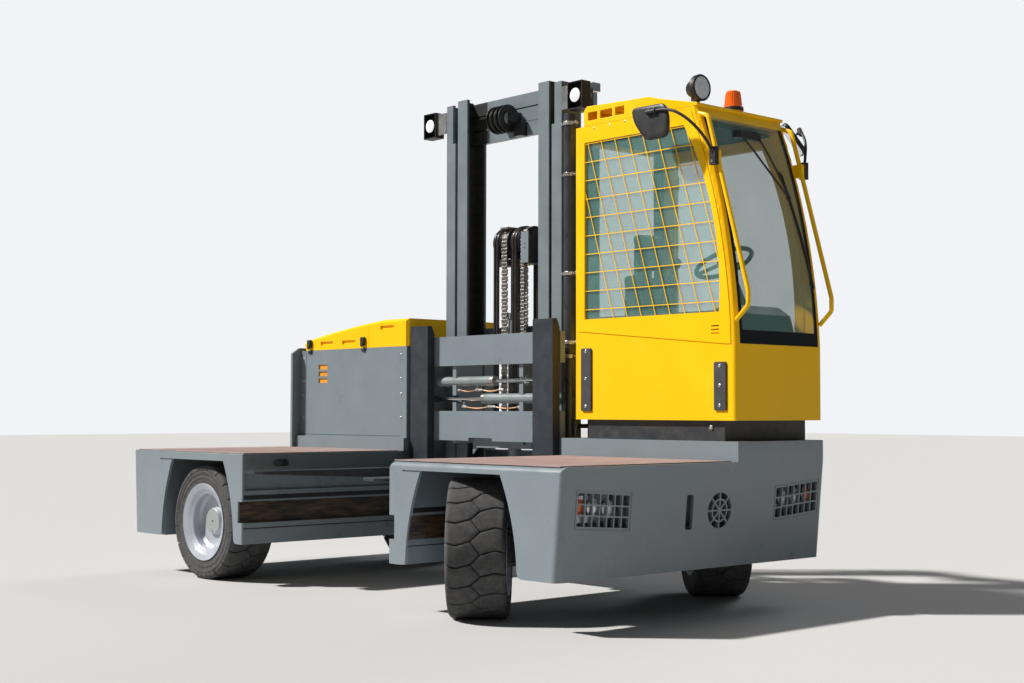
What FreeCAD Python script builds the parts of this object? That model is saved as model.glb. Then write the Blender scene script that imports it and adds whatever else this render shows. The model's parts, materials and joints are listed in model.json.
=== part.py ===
"""Electric four-wheel sideloader: deck hull, reach mast with forks, battery box and cab.

Frame: +X is forward travel, -Y is the load side, +Z is up, and the origin is on the
ground under the middle of the mast's bay. All lengths are in millimetres, angles in
degrees. Sizes along X build outwards from the bay, sizes along Y are set in from the
hull's two sides, and heights build up from the tyres.
"""
import FreeCAD, Part
import math
import os

import Sketcher
from FreeCAD import Placement, Rotation, Vector

SIZES = {
    # wheels
    "tyre_radius": 405,
    "tyre_width": 345,
    "tyre_shoulder": 28,
    "tyre_bead": 22,
    "sidewall_step": 5,
    "rim_radius": 274,
    "rim_step": 39,
    "rim_lip": 8,
    "flange_width": 9,
    "dish_depth": 105,
    "disc_thickness": 24,
    "hub_radius": 92,
    "hub_height": 18,
    # hull
    "hull_width": 2300,
    "bay_width": 1636,
    "guide_wall": 130,
    "wheel_room": 67,
    "tail_depth": 433,
    "steer_room": 40,
    "nose_depth": 274,
    "tyre_gap": 37,
    "deck_thickness": 53,
    "step_rise": 120,
    "step_depth": 860,
    "sill_height": 285,
    "plate": 20,
    "corner_radius": 45,
    "edge_radius": 10,
    "leg_radius": 40,
    "beam_depth": 200,
    "board_gap": 12,
    "centre_room": 25,
    "rear_lean": 40,
    "front_lean": 57,
    "board_thickness": 6,
    "board_margin": 22,
    "board_relief": 2,
    # guide rails in the bay walls
    "beam_height": 130,
    "web_height": 120,
    "ledge_height": 75,
    "channel_height": 145,
    "channel_depth": 55,
    "web_depth": 22,
    "groove": 8,
    "lip_drop": 42,
    "tie_hole_length": 132,
    "tie_hole_height": 50,
    "tie_hole_inset": 246,
    "tie_hole_drop": 63,
    "tie_hole_depth": 60,
    "tie_frame": 22,
    "tie_frame_proud": 4,
    # wheel arches
    "arch_half_top": 350,
    "arch_half_bottom": 490,
    "arch_bow": 35,
    "arch_shift": 30,
    "arch_slit": 170,
    "drive_room": 113,
    "belly_rise": 155,
    # front plate
    "near_lamp_inset": 126,
    "far_lamp_inset": 77,
    "lamp_width": 402,
    "lamp_height": 179,
    "lamp_drop": 138,
    "lamp_slant": 29,
    "lamp_bar": 9,
    "lamp_depth": 205,
    "lamp_bowl_radius": 45,
    "lamp_spacing": 117,
    "slot_width": 60,
    "slot_height": 201,
    "slot_y": -117,
    "grille_y": 150,
    "grille_drop": 280,
    "grille_radius": 105,
    "grille_bar": 10,
    # axles
    "rear_wheel_inset": 224,
    "pin_inset": 320,
    "steer_offset": 140,
    "near_steer": 45,
    "far_steer": 38,
    "knuckle_height": 150,
    "knuckle_radius": 62,
    "stub_radius": 70,
    "pin_radius": 30,
    "axle_width": 100,
    "axle_height": 160,
    "ear_thickness": 28,
    "ear_reach": 150,
    "hanger_half": 150,
    "drive_case_radius": 125,
    "drive_flange_radius": 175,
    "drive_flange": 40,
    "drive_neck": 40,
    "drum_radius": 135,
    "drum_width": 55,
    "steer_arm": 94,
    "pin_slack": 3,
    # reach frame
    "roller_gap": 5,
    "roller_width": 45,
    "roller_inset": 75,
    "roller_axle": 25,
    "reach_gap": 73,
    "reach_plate": 50,
    "reach_beam_depth": 130,
    "reach_back_gap": 290,
    "reach_front": 100,
    "foot_cut": 40,
    "foot_drop": 130,
    "foot_thickness": 40,
    # mast
    "mast_setback": 670,
    "mast_depth": 190,
    "mast_height": 3180,
    "outer_rail_gap": 125,
    "outer_rail_width": 100,
    "inner_rail_gap": 28,
    "inner_rail_width": 107,
    "rail_flange": 26,
    "rail_web": 22,
    "rail_notch": 28,
    "rail_notch_height": 290,
    "inner_lift": 20,
    "inner_foot": 60,
    "head_chamfer_depth": 55,
    "head_chamfer_height": 180,
    "low_tie": 120,
    "middle_tie": 1780,
    "top_tie": 190,
    "tie_height": 110,
    "tie_thickness": 44,
    "head_beam": 96,
    "head_drop": 15,
    "head_setback": 125,
    "head_thickness": 40,
    "hose_block": 80,
    "head_slit": 10,
    "head_sheave_radius": 100,
    "head_sheave_ahead": 20,
    "head_sheave_drop": 180,
    "head_sheave_x": -15,
    "head_sheave_width": 42,
    "sheave_lip": 16,
    "sheave_flange": 4,
    "cylinder_gap": 53,
    "cylinder_radius": 42,
    "cylinder_setback": 240,
    "gland_height": 45,
    "clamp": 30,
    "cylinder_cap": 250,
    "lift_rod_radius": 26,
    "rod_slack": 3,
    "arm_height": 60,
    "tube_radius": 42,
    "tube_gap": 72,
    "tube_setback": 10,
    "tube_drop": 245,
    # fork carriage
    "bar_ahead": 155,
    "bar_thickness": 45,
    "bar_height": 213,
    "bar_gap": 327,
    "bar_drop": 84,
    "bar_margin": 48,
    "bar_notch_width": 256,
    "bar_notch_height": 22,
    "skirt_height": 48,
    "skirt_end": 440,
    "cheek": 40,
    "cheek_back": 70,
    "carriage_roller": 76,
    "roller_slack": 4,
    "roller_low": 90,
    "roller_high": 700,
    "fork_thickness": 65,
    "fork_width": 200,
    "fork_margin": 5,
    "fork_rise": 84,
    "fork_drop": 254,
    "fork_heel": 60,
    "blade_length": 1450,
    "blade_thickness": 60,
    "blade_taper": 900,
    "tip_thickness": 18,
    "tip_corner": 45,
    "lug_inset": 15,
    "lug_half": 22,
    # fork positioner
    "barrel_radius": 36,
    "barrel_ahead": 108,
    "barrel_drop": 114,
    "barrel_spacing": 125,
    "barrel_out": 550,
    "barrel_mouth": 60,
    "barrel_end": 30,
    "rod_radius": 15,
    "shift_stroke": 400,
    # free lift
    "free_lift_x": 60,
    "free_lift_setback": 77,
    "base_half": 60,
    "free_barrel_radius": 48,
    "free_barrel_height": 1340,
    "free_rod_radius": 30,
    "sheave_drop": 1080,
    "sheave_radius": 108,
    "middle_chain_x": 0,
    "side_chain_x": 192,
    "rear_hose_x": -80,
    "front_hose_x": 112,
    "hose_drum_width": 76,
    "head_left": 136,
    "head_right": 270,
    "head_plate": 77,
    "head_block": 50,
    "rod_foot": 440,
    "chain_foot": 70,
    "chain_rear": 400,
    "chain_width": 38,
    "chain_thickness": 14,
    # work lamps on the mast
    "mast_lamp_width": 140,
    "mast_lamp_depth": 85,
    "mast_lamp_height": 190,
    "mast_lamp_drop": 30,
    "mast_lens_radius": 50,
    "rear_lamp_gap": 112,
    "front_lamp_gap": 77,
    # battery box and lid
    "box_gap": 18,
    "box_length": 1390,
    "box_height": 780,
    "box_depth": 885,
    "box_side_gap": 15,
    "box_floor": 30,
    "box_slot_place": 252,
    "box_slot_length": 119,
    "box_slot_height": 37,
    "box_slot_drop": 118,
    "box_slot_pitch": 54,
    "battery_gap": 25,
    "battery_drop": 80,
    "seam": 4,
    "box_rail_height": 96,
    "box_rail_proud": 45,
    "guard_proud": 80,
    "guard_thickness": 25,
    "guard_chamfer": 46,
    "guard_rise": 23,
    "guard_slope": 70,
    "lid_rear_gap": 57,
    "lid_front_gap": 8,
    "lid_toe": 24,
    "lid_shoulder": 15,
    "lid_front_height": 207,
    "lid_rear_height": 79,
    "lid_arch": 178,
    "lid_wall": 11,
    "lid_bevel": 20,
    "lid_pin": 4,
    "pin_clear": 7.3,
    "hinge_lug": 14,
    "lid_pin_seat": 30,
    "lid_leaf": 40,
    "lid_slot_length": 170,
    "lid_slot_height": 30,
    # cab
    "cab_width": 848,
    "cab_behind": 126,
    "cab_nose_gap": 25,
    "cab_floor_rise": 124,
    "cab_waist_rise": 461,
    "cab_wall_rise": 1934,
    "cab_rake": 306,
    "cab_bow": 91,
    "cab_wall": 42,
    "cab_corner": 30,
    "panel_proud": 5,
    "window_rear": 84,
    "window_front": 125,
    "window_sill": 195,
    "window_bow": 45,
    "pillar": 36,
    "panel_drop": 118,
    "louvre_length": 62,
    "louvre_rise": 62,
    "louvre_pitch": 22,
    "window_head": 108,
    "screen_side": 40,
    "screen_head": 60,
    "rear_window_inset": 90,
    "door_margin": 75,
    "door_sill": 60,
    "door_head": 88,
    "door_gap": 5,
    "door_front": 110,
    "door_frame": 75,
    "hinge_margin": 206,
    "hinge_set": 11,
    "hinge_stand": 10,
    "glass": 6,
    "hinge_pin": 8,
    "hinge_height": 80,
    "seal": 0.3,
    "screen_set": 2,
    "roof_back": 72,
    "roof_thickness": 20,
    "roof_rise": 133,
    "roof_corner": 28,
    "roof_fall": 19,
    "roof_slope": 340,
    "roof_room": 100,
    "roof_wall": 12,
    "roof_slot_rise": 37,
    "roof_slot_height": 53,
    "roof_vent_place": 60,
    "roof_vent_pitch": 130,
    "roof_vent_inset": 110,
    "roof_vent_width": 60,
    "roof_vent_lean": 60,
    "visor": 8,
    "mesh_pitch": 122,
    "mesh_wire": 5,
    "mesh_height": 1300,
    "pedestal_inset": 70,
    # driver's place
    "seat_behind_nose": 910,
    "seat_side": 410,
    "seat_width": 490,
    "seat_height": 240,
    "seat_back": 830,
    "cushion": 120,
    "arm_room": 85,
    "joystick": 120,
    "desk_gap": 28,
    "desk_foot": 150,
    "desk_half": 255,
    "desk_rise": 255,
    "column": 30,
    "column_length": 400,
    "wheel_back": 385,
    "wheel_rise": 285,
    "wheel_radius": 185,
    "wheel_grip": 15,
    # outside fittings
    "bar_tube": 14,
    "bar_reach": 85,
    "bar_bend": 36,
    "bar_top_drop": 36,
    "bar_low": 310,
    "bar_bracket_back": 215,
    "bar_bracket_drop": 380,
    "mirror_drop": 88,
    "mirror_foot": 150,
    "mirror_rise": 250,
    "mirror_reach": 383,
    "mirror_length": 300,
    "mirror_height": 210,
    "mirror_stand": 145,
    "mirror_depth": 50,
    "mirror_arm": 11,
    "lamp_back": 56,
    "work_lamp_inset": 60,
    "visor_rise": 18,
    "beacon_height": 132,
    "work_lamp_radius": 82,
    "beacon_radius": 62,
    "clearance": 6,
}

document = FreeCAD.newDocument("sideloader")
sheet = document.addObject("Spreadsheet::Sheet", "Sizes")
for row, (size_name, size_value) in enumerate(SIZES.items(), 1):
    sheet.set(f"A{row}", size_name)
    sheet.set(f"B{row}", str(size_value))
    sheet.setAlias(f"B{row}", size_name)
document.recompute()


class Size:
    """A length known both as a number and as the sheet expression that gives it."""

    def __init__(self, value, text):
        self.value = float(value)
        self.text = text

    def __add__(self, other):
        other = as_size(other)
        return Size(self.value + other.value, f"({self.text} + {other.text})")

    def __sub__(self, other):
        other = as_size(other)
        return Size(self.value - other.value, f"({self.text} - {other.text})")

    def __mul__(self, other):
        other = as_size(other)
        return Size(self.value * other.value, f"({self.text} * {other.text})")

    def __truediv__(self, other):
        other = as_size(other)
        return Size(self.value / other.value, f"({self.text} / {other.text})")

    def __neg__(self):
        return Size(-self.value, f"(-1 * {self.text})")

    __radd__ = __add__
    __rmul__ = __mul__

    def __rsub__(self, other):
        return as_size(other) - self


def as_size(number):
    return number if isinstance(number, Size) else Size(number, f"({number})")


def sine(angle):
    return Size(math.sin(math.radians(angle.value)), f"sin({angle.text})")


def cosine(angle):
    return Size(math.cos(math.radians(angle.value)), f"cos({angle.text})")


def hypotenuse(first, second):
    """The long side of a right-angled triangle, as a size."""
    value = math.hypot(first.value, second.value)
    return Size(value, f"sqrt({first.text} * {first.text} + {second.text} * {second.text})")


class Sheet:
    """Reads the spreadsheet's cells by name as sizes."""

    def __getattr__(self, name):
        return Size(sheet.get(name), f"Sizes.{name}")


s = Sheet()
subparts = []


# ---- building blocks ----

def bind(item, setting, size):
    item.setExpression(setting, as_size(size).text)


def move_to(item, x, y, z):
    for axis, size in zip("xyz", (x, y, z)):
        bind(item, f"Placement.Base.{axis}", size)


def box(name, x, y, z):
    """A block between a low and a high value along each axis."""
    block = document.addObject("Part::Box", name)
    for setting, (low, high) in zip(("Length", "Width", "Height"), (x, y, z)):
        bind(block, setting, as_size(high) - low)
    move_to(block, x[0], y[0], z[0])
    return block


TURNS = {
    "x": Rotation(Vector(0, 1, 0), 90),
    "y": Rotation(Vector(1, 0, 0), -90),
    "z": Rotation(),
}


def cylinder(name, radius, axis, low, high, centre):
    """A round bar along one axis from low to high, centred on the other two."""
    bar = document.addObject("Part::Cylinder", name)
    bar.Placement.Rotation = TURNS[axis]
    bind(bar, "Radius", radius)
    bind(bar, "Height", as_size(high) - low)
    place = list(centre)
    place.insert("xyz".index(axis), low)
    move_to(bar, *place)
    return bar


def turned_box(name, x, y, z, axis, angle, centre):
    """A block given about a centre, then turned by an angle about an axis through it."""
    block = document.addObject("Part::Box", name)
    for setting, (low, high) in zip(("Length", "Width", "Height"), (x, y, z)):
        bind(block, setting, as_size(high) - low)
    turn = Rotation(AXES[axis], angle)
    block.Placement = Placement(Vector(), turn)
    columns = [turn.multVec(unit) for unit in AXES.values()]
    place = []
    for row in range(3):
        spot = as_size(centre[row])
        for column, reach in zip(columns, (x, y, z)):
            spot = spot + as_size(reach[0]) * round(column[row], 9)
        place.append(spot)
    move_to(block, *place)
    return block


AXES = {"x": Vector(1, 0, 0), "y": Vector(0, 1, 0), "z": Vector(0, 0, 1)}


def turn_about_z(item, angle):
    item.Placement = Placement(Vector(), Rotation(AXES["z"], 0))
    bind(item, "Placement.Rotation.Angle", angle)


def cone(name, low_radius, high_radius, axis, low, high, centre):
    """A round bar along one axis whose radius changes evenly from low to high."""
    bar = document.addObject("Part::Cone", name)
    bar.Placement.Rotation = TURNS[axis]
    bind(bar, "Radius1", low_radius)
    bind(bar, "Radius2", high_radius)
    bind(bar, "Height", as_size(high) - low)
    place = list(centre)
    place.insert("xyz".index(axis), low)
    move_to(bar, *place)
    return bar


def fuse(name, *pieces):
    joined = document.addObject("Part::MultiFuse", name)
    joined.Shapes = list(pieces)
    return joined


def cut(name, base, *tools):
    result = document.addObject("Part::Cut", name)
    result.Base = base
    result.Tool = tools[0] if len(tools) == 1 else fuse(f"{name}_tools", *tools)
    return result


def common(name, base, tool):
    result = document.addObject("Part::Common", name)
    result.Base = base
    result.Tool = tool
    return result


PLANES = {"xy": ("XY_Plane", 1), "xz": ("XZ_Plane", -1), "yz": ("YZ_Plane", 1)}


def draw(body, name, plane, outline, offset=0):
    """A closed sketch. A point marked "through" makes its two neighbours the ends of an arc."""
    role, sign = PLANES[plane]
    sketch = body.newObject("Sketcher::SketchObject", name)
    origin = [item for item in body.Origin.OriginFeatures if item.Role == role]
    sketch.AttachmentSupport = [(origin[0], "")]
    sketch.MapMode = "FlatFace"
    bind(sketch, "AttachmentOffset.Base.z", as_size(offset) * sign)
    spots = [Vector(as_size(p[0]).value, as_size(p[1]).value, 0) for p in outline]
    corners = [n for n, p in enumerate(outline) if len(p) == 2]
    ends = []
    middles = []
    for n, here in enumerate(corners):
        following = corners[(n + 1) % len(corners)]
        start = spots[here]
        finish = spots[following]
        if len(outline[(here + 1) % len(outline)]) == 2:
            edge = sketch.addGeometry(Part.LineSegment(start, finish))
        else:
            middle = (here + 1) % len(outline)
            edge = sketch.addGeometry(Part.Arc(start, spots[middle], finish))
            middles.append((edge, middle))
        first = sketch.getPoint(edge, 1)
        forward = (first - start).Length < (first - finish).Length
        ends.append((edge, 1, 2) if forward else (edge, 2, 1))
    for n, (edge, first, last) in enumerate(ends):
        after = ends[(n + 1) % len(ends)]
        sketch.addConstraint(Sketcher.Constraint("Coincident", edge, last, after[0], after[1]))
        fix_point(sketch, edge, first, outline[corners[n]])
    for edge, middle in middles:
        mark = sketch.addGeometry(Part.Point(spots[middle]), True)
        sketch.addConstraint(Sketcher.Constraint("PointOnObject", mark, 1, edge))
        fix_point(sketch, mark, 1, outline[middle])
    return sketch


def fix_point(sketch, edge, end, point):
    for kind, size in (("DistanceX", point[0]), ("DistanceY", point[1])):
        size = as_size(size)
        index = sketch.addConstraint(Sketcher.Constraint(kind, -1, 1, edge, end, size.value))
        bind(sketch, f"Constraints[{index}]", size)


def prism(name, plane, outline, low, high):
    """An outline padded from low to high along the axis that its plane faces."""
    body = document.addObject("PartDesign::Body", name)
    sketch = draw(body, f"{name}_outline", plane, outline, low)
    pad = body.newObject("PartDesign::Pad", f"{name}_pad")
    pad.Profile = sketch
    bind(pad, "Length", as_size(high) - low)
    pad.Reversed = plane == "xz"
    return body


def dress(body, kind, size, chosen):
    """Rounds or bevels the edges of a body whose middle point is accepted by chosen."""
    document.recompute()
    base = body.Tip
    names = [f"Edge{n}" for n, edge in enumerate(base.Shape.Edges, 1) if chosen(edge.CenterOfMass)]
    feature = body.newObject(f"PartDesign::{kind}", f"{body.Name}_{kind.lower()}")
    feature.Base = (base, names)
    bind(feature, "Radius" if kind == "Fillet" else "Size", size)
    return body


def turned(name, outline, plane="yz"):
    """An outline of (distance along Y, radius) turned about the Y axis."""
    body = document.addObject("PartDesign::Body", name)
    sketch = draw(body, f"{name}_outline", plane, outline)
    turn = body.newObject("PartDesign::Revolution", f"{name}_turn")
    turn.Profile = sketch
    turn.ReferenceAxis = (sketch, ["H_Axis"])
    turn.Angle = 360
    return body


def bent_tube(name, points, radius, bend):
    """A round tube along straight runs that are joined by arcs of one bend radius."""
    spots = [Vector(*[as_size(value).value for value in point]) for point in points]
    edges = []
    start = spots[0]
    for before, corner, after in zip(spots, spots[1:], spots[2:]):
        arriving = (corner - before).normalize()
        leaving = (after - corner).normalize()
        half_turn = arriving.getAngle(leaving) / 2
        reach = bend.value * math.tan(half_turn)
        entry = corner - arriving * reach
        leave = corner + leaving * reach
        inward = (leaving - arriving).normalize()
        middle = corner + inward * (bend.value / math.cos(half_turn) - bend.value)
        edges.append(Part.LineSegment(start, entry).toShape())
        edges.append(Part.Arc(entry, middle, leave).toShape())
        start = leave
    edges.append(Part.LineSegment(start, spots[-1]).toShape())
    path = Part.Wire(edges)
    ring = Part.Wire([Part.Circle(spots[0], spots[1] - spots[0], as_size(radius).value).toShape()])
    tube = document.addObject("Part::Feature", name)
    tube.Shape = path.makePipeShell([ring], True, False)
    return tube


def torus(name, ring, section, centre, turn):
    """A round ring, turned from level."""
    item = document.addObject("Part::Torus", name)
    bind(item, "Radius1", ring)
    bind(item, "Radius2", section)
    item.Placement.Rotation = turn
    move_to(item, *centre)
    return item


def part(name, item):
    """Names a finished object as the sub-part that its file is called after."""
    item.Label = name
    subparts.append(item)
    return item


def ordered(first, second):
    """Two sizes as a low and a high one."""
    return tuple(sorted((as_size(first), as_size(second)), key=lambda size: size.value))


CHORD = 1 - math.sqrt(0.5)


def rounded_rectangle(x, y, radius):
    """A rectangle whose four corners are quarter circles."""
    x0, x1, y0, y1 = as_size(x[0]), as_size(x[1]), as_size(y[0]), as_size(y[1])
    inset = radius * CHORD
    return [
        (x0 + radius, y0), (x1 - radius, y0), (x1 - inset, y0 + inset, "through"),
        (x1, y0 + radius), (x1, y1 - radius), (x1 - inset, y1 - inset, "through"),
        (x1 - radius, y1), (x0 + radius, y1), (x0 + inset, y1 - inset, "through"),
        (x0, y1 - radius), (x0, y0 + radius), (x0 + inset, y0 + inset, "through"),
    ]


# ---- levels and lines that the pieces share ----

FAR = 4000
SEAT = 0.3

half_width = s.hull_width / 2
bay_half = s.bay_width / 2

deck = s.tyre_radius * 2 + s.tyre_gap + s.deck_thickness
step_top = deck + s.step_rise
arch_top = deck - s.deck_thickness
beam_low = deck - s.beam_height
web_low = beam_low - s.web_height
channel_high = web_low - s.ledge_height
channel_low = channel_high - s.channel_height
belly = s.tyre_radius + s.belly_rise

rear_well = s.tyre_radius + s.wheel_room
rear_wheel_x = -(bay_half + s.guide_wall + rear_well)
rear_end = rear_wheel_x - rear_well - s.tail_depth
sweep = hypotenuse(s.tyre_radius, s.steer_offset + s.tyre_width / 2) + s.steer_room
pin_x = bay_half + s.guide_wall + sweep
front_end = pin_x + sweep + s.nose_depth

rear_wheel_y = half_width - s.rear_wheel_inset
pin_y = half_width - s.pin_inset
well_wall = rear_wheel_y - s.tyre_width / 2 - s.drive_room

step_edge = half_width - s.step_depth
mast_front = half_width - s.mast_setback
mast_back = mast_front + s.mast_depth
mast_foot = channel_low - s.foot_drop
mast_top = mast_foot + s.mast_height
reach_side = bay_half - s.reach_gap
outer_out = reach_side - s.outer_rail_gap
inner_out = outer_out - s.outer_rail_width - s.inner_rail_gap
carriage_out = inner_out - s.inner_rail_width - s.clearance
cylinder_x = reach_side - s.cylinder_gap
cylinder_y = mast_front + s.cylinder_setback
barrel_top = mast_top - s.cylinder_cap
tube_x = outer_out + s.tube_gap
tube_y = mast_front + s.tube_setback
head_face = mast_front + s.head_setback
tie_level = (mast_foot + s.low_tie, mast_foot + s.low_tie + s.tie_height * 1.27)
free_lift_y = mast_front + s.free_lift_setback
free_barrel_top = tie_level[1] + s.free_barrel_height
sheave_z = mast_top - s.sheave_drop

bar_front = mast_front - s.bar_ahead
lower_bar = deck + s.bar_drop
lower_bar_top = lower_bar + s.bar_height
upper_bar = lower_bar_top + s.bar_gap
upper_bar_top = upper_bar + s.bar_height
carriage_half = bay_half - s.bar_margin
fork_out = carriage_half - s.fork_margin
fork_bottom = lower_bar - s.fork_drop
barrel_y = mast_front - s.barrel_ahead
upper_barrel = upper_bar - s.barrel_drop
lower_barrel = upper_barrel - s.barrel_spacing

box_front = -(bay_half - s.box_gap)
box_rear = box_front - s.box_length
box_back = half_width - s.box_side_gap
box_face = box_back - s.box_depth
box_low = deck + SEAT
box_top = deck + s.box_height

cab_rear = bay_half + s.cab_behind
cab_front = front_end - s.cab_nose_gap
cab_side = half_width - s.cab_width
cab_floor = step_top + s.cab_floor_rise
cab_waist = cab_floor + s.cab_waist_rise
cab_top = cab_floor + s.cab_wall_rise
cab_brow = cab_front - s.cab_rake


# ---- hull ----

def arch(name, centre):
    """The wheel openings in both side panels: flat on top, with sides that curve outwards."""
    top = s.arch_half_top
    foot = s.arch_half_bottom
    bow = (top + foot) / 2 + s.arch_bow
    middle = (s.sill_height + arch_top) / 2
    radius = s.leg_radius
    outline = []
    for side in (-1, 1):
        leg = [
            (centre + (foot + radius) * side, -FAR), (centre + (foot + radius) * side, s.sill_height),
            (centre + (foot + radius * CHORD) * side, s.sill_height + radius * CHORD, "through"),
            (centre + foot * side, s.sill_height + radius), (centre + bow * side, middle, "through"),
            (centre + top * side, arch_top),
        ]
        outline += leg if side < 0 else leg[::-1]
    skin = half_width - s.plate - 1
    tools = [
        prism(f"{name}_near", "xz", outline, -FAR, -skin),
        prism(f"{name}_far", "xz", outline, skin, FAR),
    ]
    slit = (centre - top - s.arch_slit, centre - top + 1)
    for side in (-1, 1):
        depth = ordered((half_width - s.plate / 2) * side, FAR * side)
        tools.append(box(f"{name}_slit_{side + 1}", slit, depth, (arch_top - s.groove, arch_top)))
    return tools


def wheel_wells(name, reach, inner):
    """The space behind the two side panels, one block each side of the centre box."""
    blocks = []
    for side in (-1, 1):
        depth = ordered(inner * side, (half_width - s.plate) * side)
        blocks.append(box(f"{name}_{side + 1}", reach, depth, (-FAR, arch_top)))
    return blocks


def bay_recesses(name, side):
    """The guide rails of a bay wall, cut into its face; side is -1 rear, +1 front.

    From the top: a plain beam, a shallow web, a ledge with a groove, the deep channel
    that the reach frame's rollers run in, and a lip with a groove.
    """
    face = bay_half * side
    web = ordered(face, (bay_half + s.web_depth) * side)
    channel = ordered(face, (bay_half + s.channel_depth) * side)
    line = ordered(face, (bay_half + s.groove) * side)
    ledge_line = (web_low + channel_high) / 2
    lip_line = channel_low - s.lip_drop
    edge = -half_width + s.plate
    tools = [
        box(f"{name}_web", web, (edge, FAR), (web_low, beam_low)),
        box(f"{name}_channel", channel, (-FAR, half_width - s.beam_depth), (channel_low, channel_high)),
    ]
    for number, level in enumerate((ledge_line, lip_line)):
        tools.append(box(f"{name}_line_{number}", line, (edge, FAR), (level, level + s.groove)))
    return tools


def upright(low, high):
    """Accepts the upright edges at the hull's two sides, between two places along X."""
    side = half_width.value - 1

    def chosen(centre):
        inside = s.sill_height.value + 1 < centre.z < step_top.value - 1
        return abs(centre.y) > side and inside and low < centre.x < high

    return chosen


def rear_hull():
    outline = [
        (-bay_half, deck), (rear_end, deck),
        (rear_end + s.rear_lean, s.sill_height), (-bay_half, s.sill_height),
    ]
    block = prism("rear_block", "xz", outline, -half_width, half_width)
    dress(block, "Fillet", s.edge_radius, upright(-FAR, FAR))
    reach = (rear_wheel_x - rear_well, rear_wheel_x + rear_well)
    tools = wheel_wells("rear_well", reach, well_wall)
    tools += arch("rear_arch", rear_wheel_x)
    tools += bay_recesses("rear_bay", -1)
    hole_y = -half_width + s.tie_hole_inset
    hole_z = deck - s.tie_hole_drop
    half_hole = s.tie_hole_height / 2
    rim = s.tie_frame
    frame_y = (hole_y - rim, hole_y + s.tie_hole_length + rim)
    frame_z = (hole_z - half_hole - rim, hole_z + half_hole + rim)
    frame = prism("tie_frame", "yz", rounded_rectangle(frame_y, frame_z, half_hole + rim / 2),
                  -bay_half - 1, -bay_half + s.tie_frame_proud)
    hole = rounded_rectangle((hole_y, hole_y + s.tie_hole_length),
                             (hole_z - half_hole, hole_z + half_hole), half_hole - 1)
    tie_hole = prism("tie_hole", "yz", hole, -bay_half - s.tie_hole_depth, -bay_half + FAR)
    carved = cut("rear_hull_carved", block, *tools)
    part("rear_hull", cut("rear_hull_form", fuse("rear_hull_framed", carved, frame), tie_hole))


LAMP_COLUMNS = 7
LAMP_ROWS = 3
FAN_SPOKES = 4


def lean_at(level):
    """How far behind the front end the leaning plate's face is at a height."""
    return s.front_lean * (deck - level) / (deck - s.sill_height)


def front_slab(name, depth, reach):
    """A slab that follows the front plate's leaning face, from a depth behind it outwards."""
    outline = [
        (front_end - lean_at(s.sill_height) - depth, s.sill_height), (front_end - depth, deck),
        (front_end + s.plate, deck), (front_end + s.plate, s.sill_height),
    ]
    return prism(name, "xz", outline, *reach)


def lamp_ends(inset, side):
    """The outer and the inner end of a lamp grille; side is -1 near, +1 far."""
    return (half_width - inset) * side, (half_width - inset - s.lamp_width) * side


def lamp_outline(inset, side, grow):
    """The tapered outline of a lamp grille, grown on every edge."""
    outer, inner = lamp_ends(inset, side)
    outer += grow * side
    inner -= grow * side
    top = deck - s.lamp_drop + grow
    low = deck - s.lamp_drop - s.lamp_height - grow
    return [(outer, top), (inner, top - s.lamp_slant), (inner, low - s.lamp_slant), (outer, low)]


def lamp_grille(name, inset, side):
    """The grid of cells of one lamp grille in the front plate, and the seam round it."""
    reach = (front_end - s.lamp_depth / 2, front_end + s.plate)
    outer, inner = lamp_ends(inset, side)
    half_bar = s.lamp_bar / 2
    bars = []
    for column in range(1, LAMP_COLUMNS):
        y = outer - s.lamp_width / LAMP_COLUMNS * column * side
        bars.append(box(f"{name}_upright_{column}", reach, (y - half_bar, y + half_bar), (0, deck)))
    for row in range(1, LAMP_ROWS):
        z = deck - s.lamp_drop - s.lamp_height / LAMP_ROWS * row
        level = [(outer, z + half_bar), (inner, z + half_bar - s.lamp_slant),
                 (inner, z - half_bar - s.lamp_slant), (outer, z - half_bar)]
        bars.append(prism(f"{name}_level_{row}", "yz", level, *reach))
    opening = prism(f"{name}_opening", "yz", lamp_outline(inset, side, as_size(0)), *reach)
    outside = prism(f"{name}_seam_out", "yz", lamp_outline(inset, side, s.groove * 2), *reach)
    inside = prism(f"{name}_seam_in", "yz", lamp_outline(inset, side, s.groove * 1.4), *reach)
    slab = front_slab(f"{name}_seam_slab", s.groove / 2, ordered(outer + 50 * side, inner - 50 * side))
    seam = common(f"{name}_seam", cut(f"{name}_seam_ring", outside, inside), slab)
    return [cut(f"{name}_cells", opening, *bars), seam]


def fan_grille():
    """The round grille in the front plate: eight arms, a small hub and one ring."""
    centre = (s.grille_y, deck - s.grille_drop)
    reach = (front_end - s.lamp_depth / 2, front_end + s.plate)
    bar = s.grille_bar
    middle = s.grille_radius * 0.62
    disc = cylinder("fan_disc", s.grille_radius, "x", *reach, centre)
    ring_hole = cylinder("fan_ring_hole", middle - bar / 2, "x", *reach, centre)
    solids = [
        cylinder("fan_hub", bar, "x", *reach, centre),
        cut("fan_ring", cylinder("fan_ring_form", middle + bar / 2, "x", *reach, centre), ring_hole),
    ]
    for number in range(FAN_SPOKES):
        solids.append(turned_box(f"fan_spoke_{number}", reach, (-bar / 2, bar / 2),
                                 (-s.grille_radius * 1.1, s.grille_radius * 1.1),
                                 "x", 180 / FAN_SPOKES * number, (0, *centre)))
    return cut("fan_cells", disc, *solids)


def lamp_room(name, y):
    """A hollow behind the front plate, closed at the back by the wheel well's wall."""
    low = deck - s.lamp_drop - s.lamp_height - s.lamp_slant - s.plate
    high = deck - s.lamp_drop + s.plate
    outline = [
        (front_end - s.lamp_depth, low), (front_end - lean_at(low) - s.plate, low),
        (front_end - lean_at(high) - s.plate, high), (front_end - s.lamp_depth, high),
    ]
    return prism(name, "xz", outline, *y)


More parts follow.
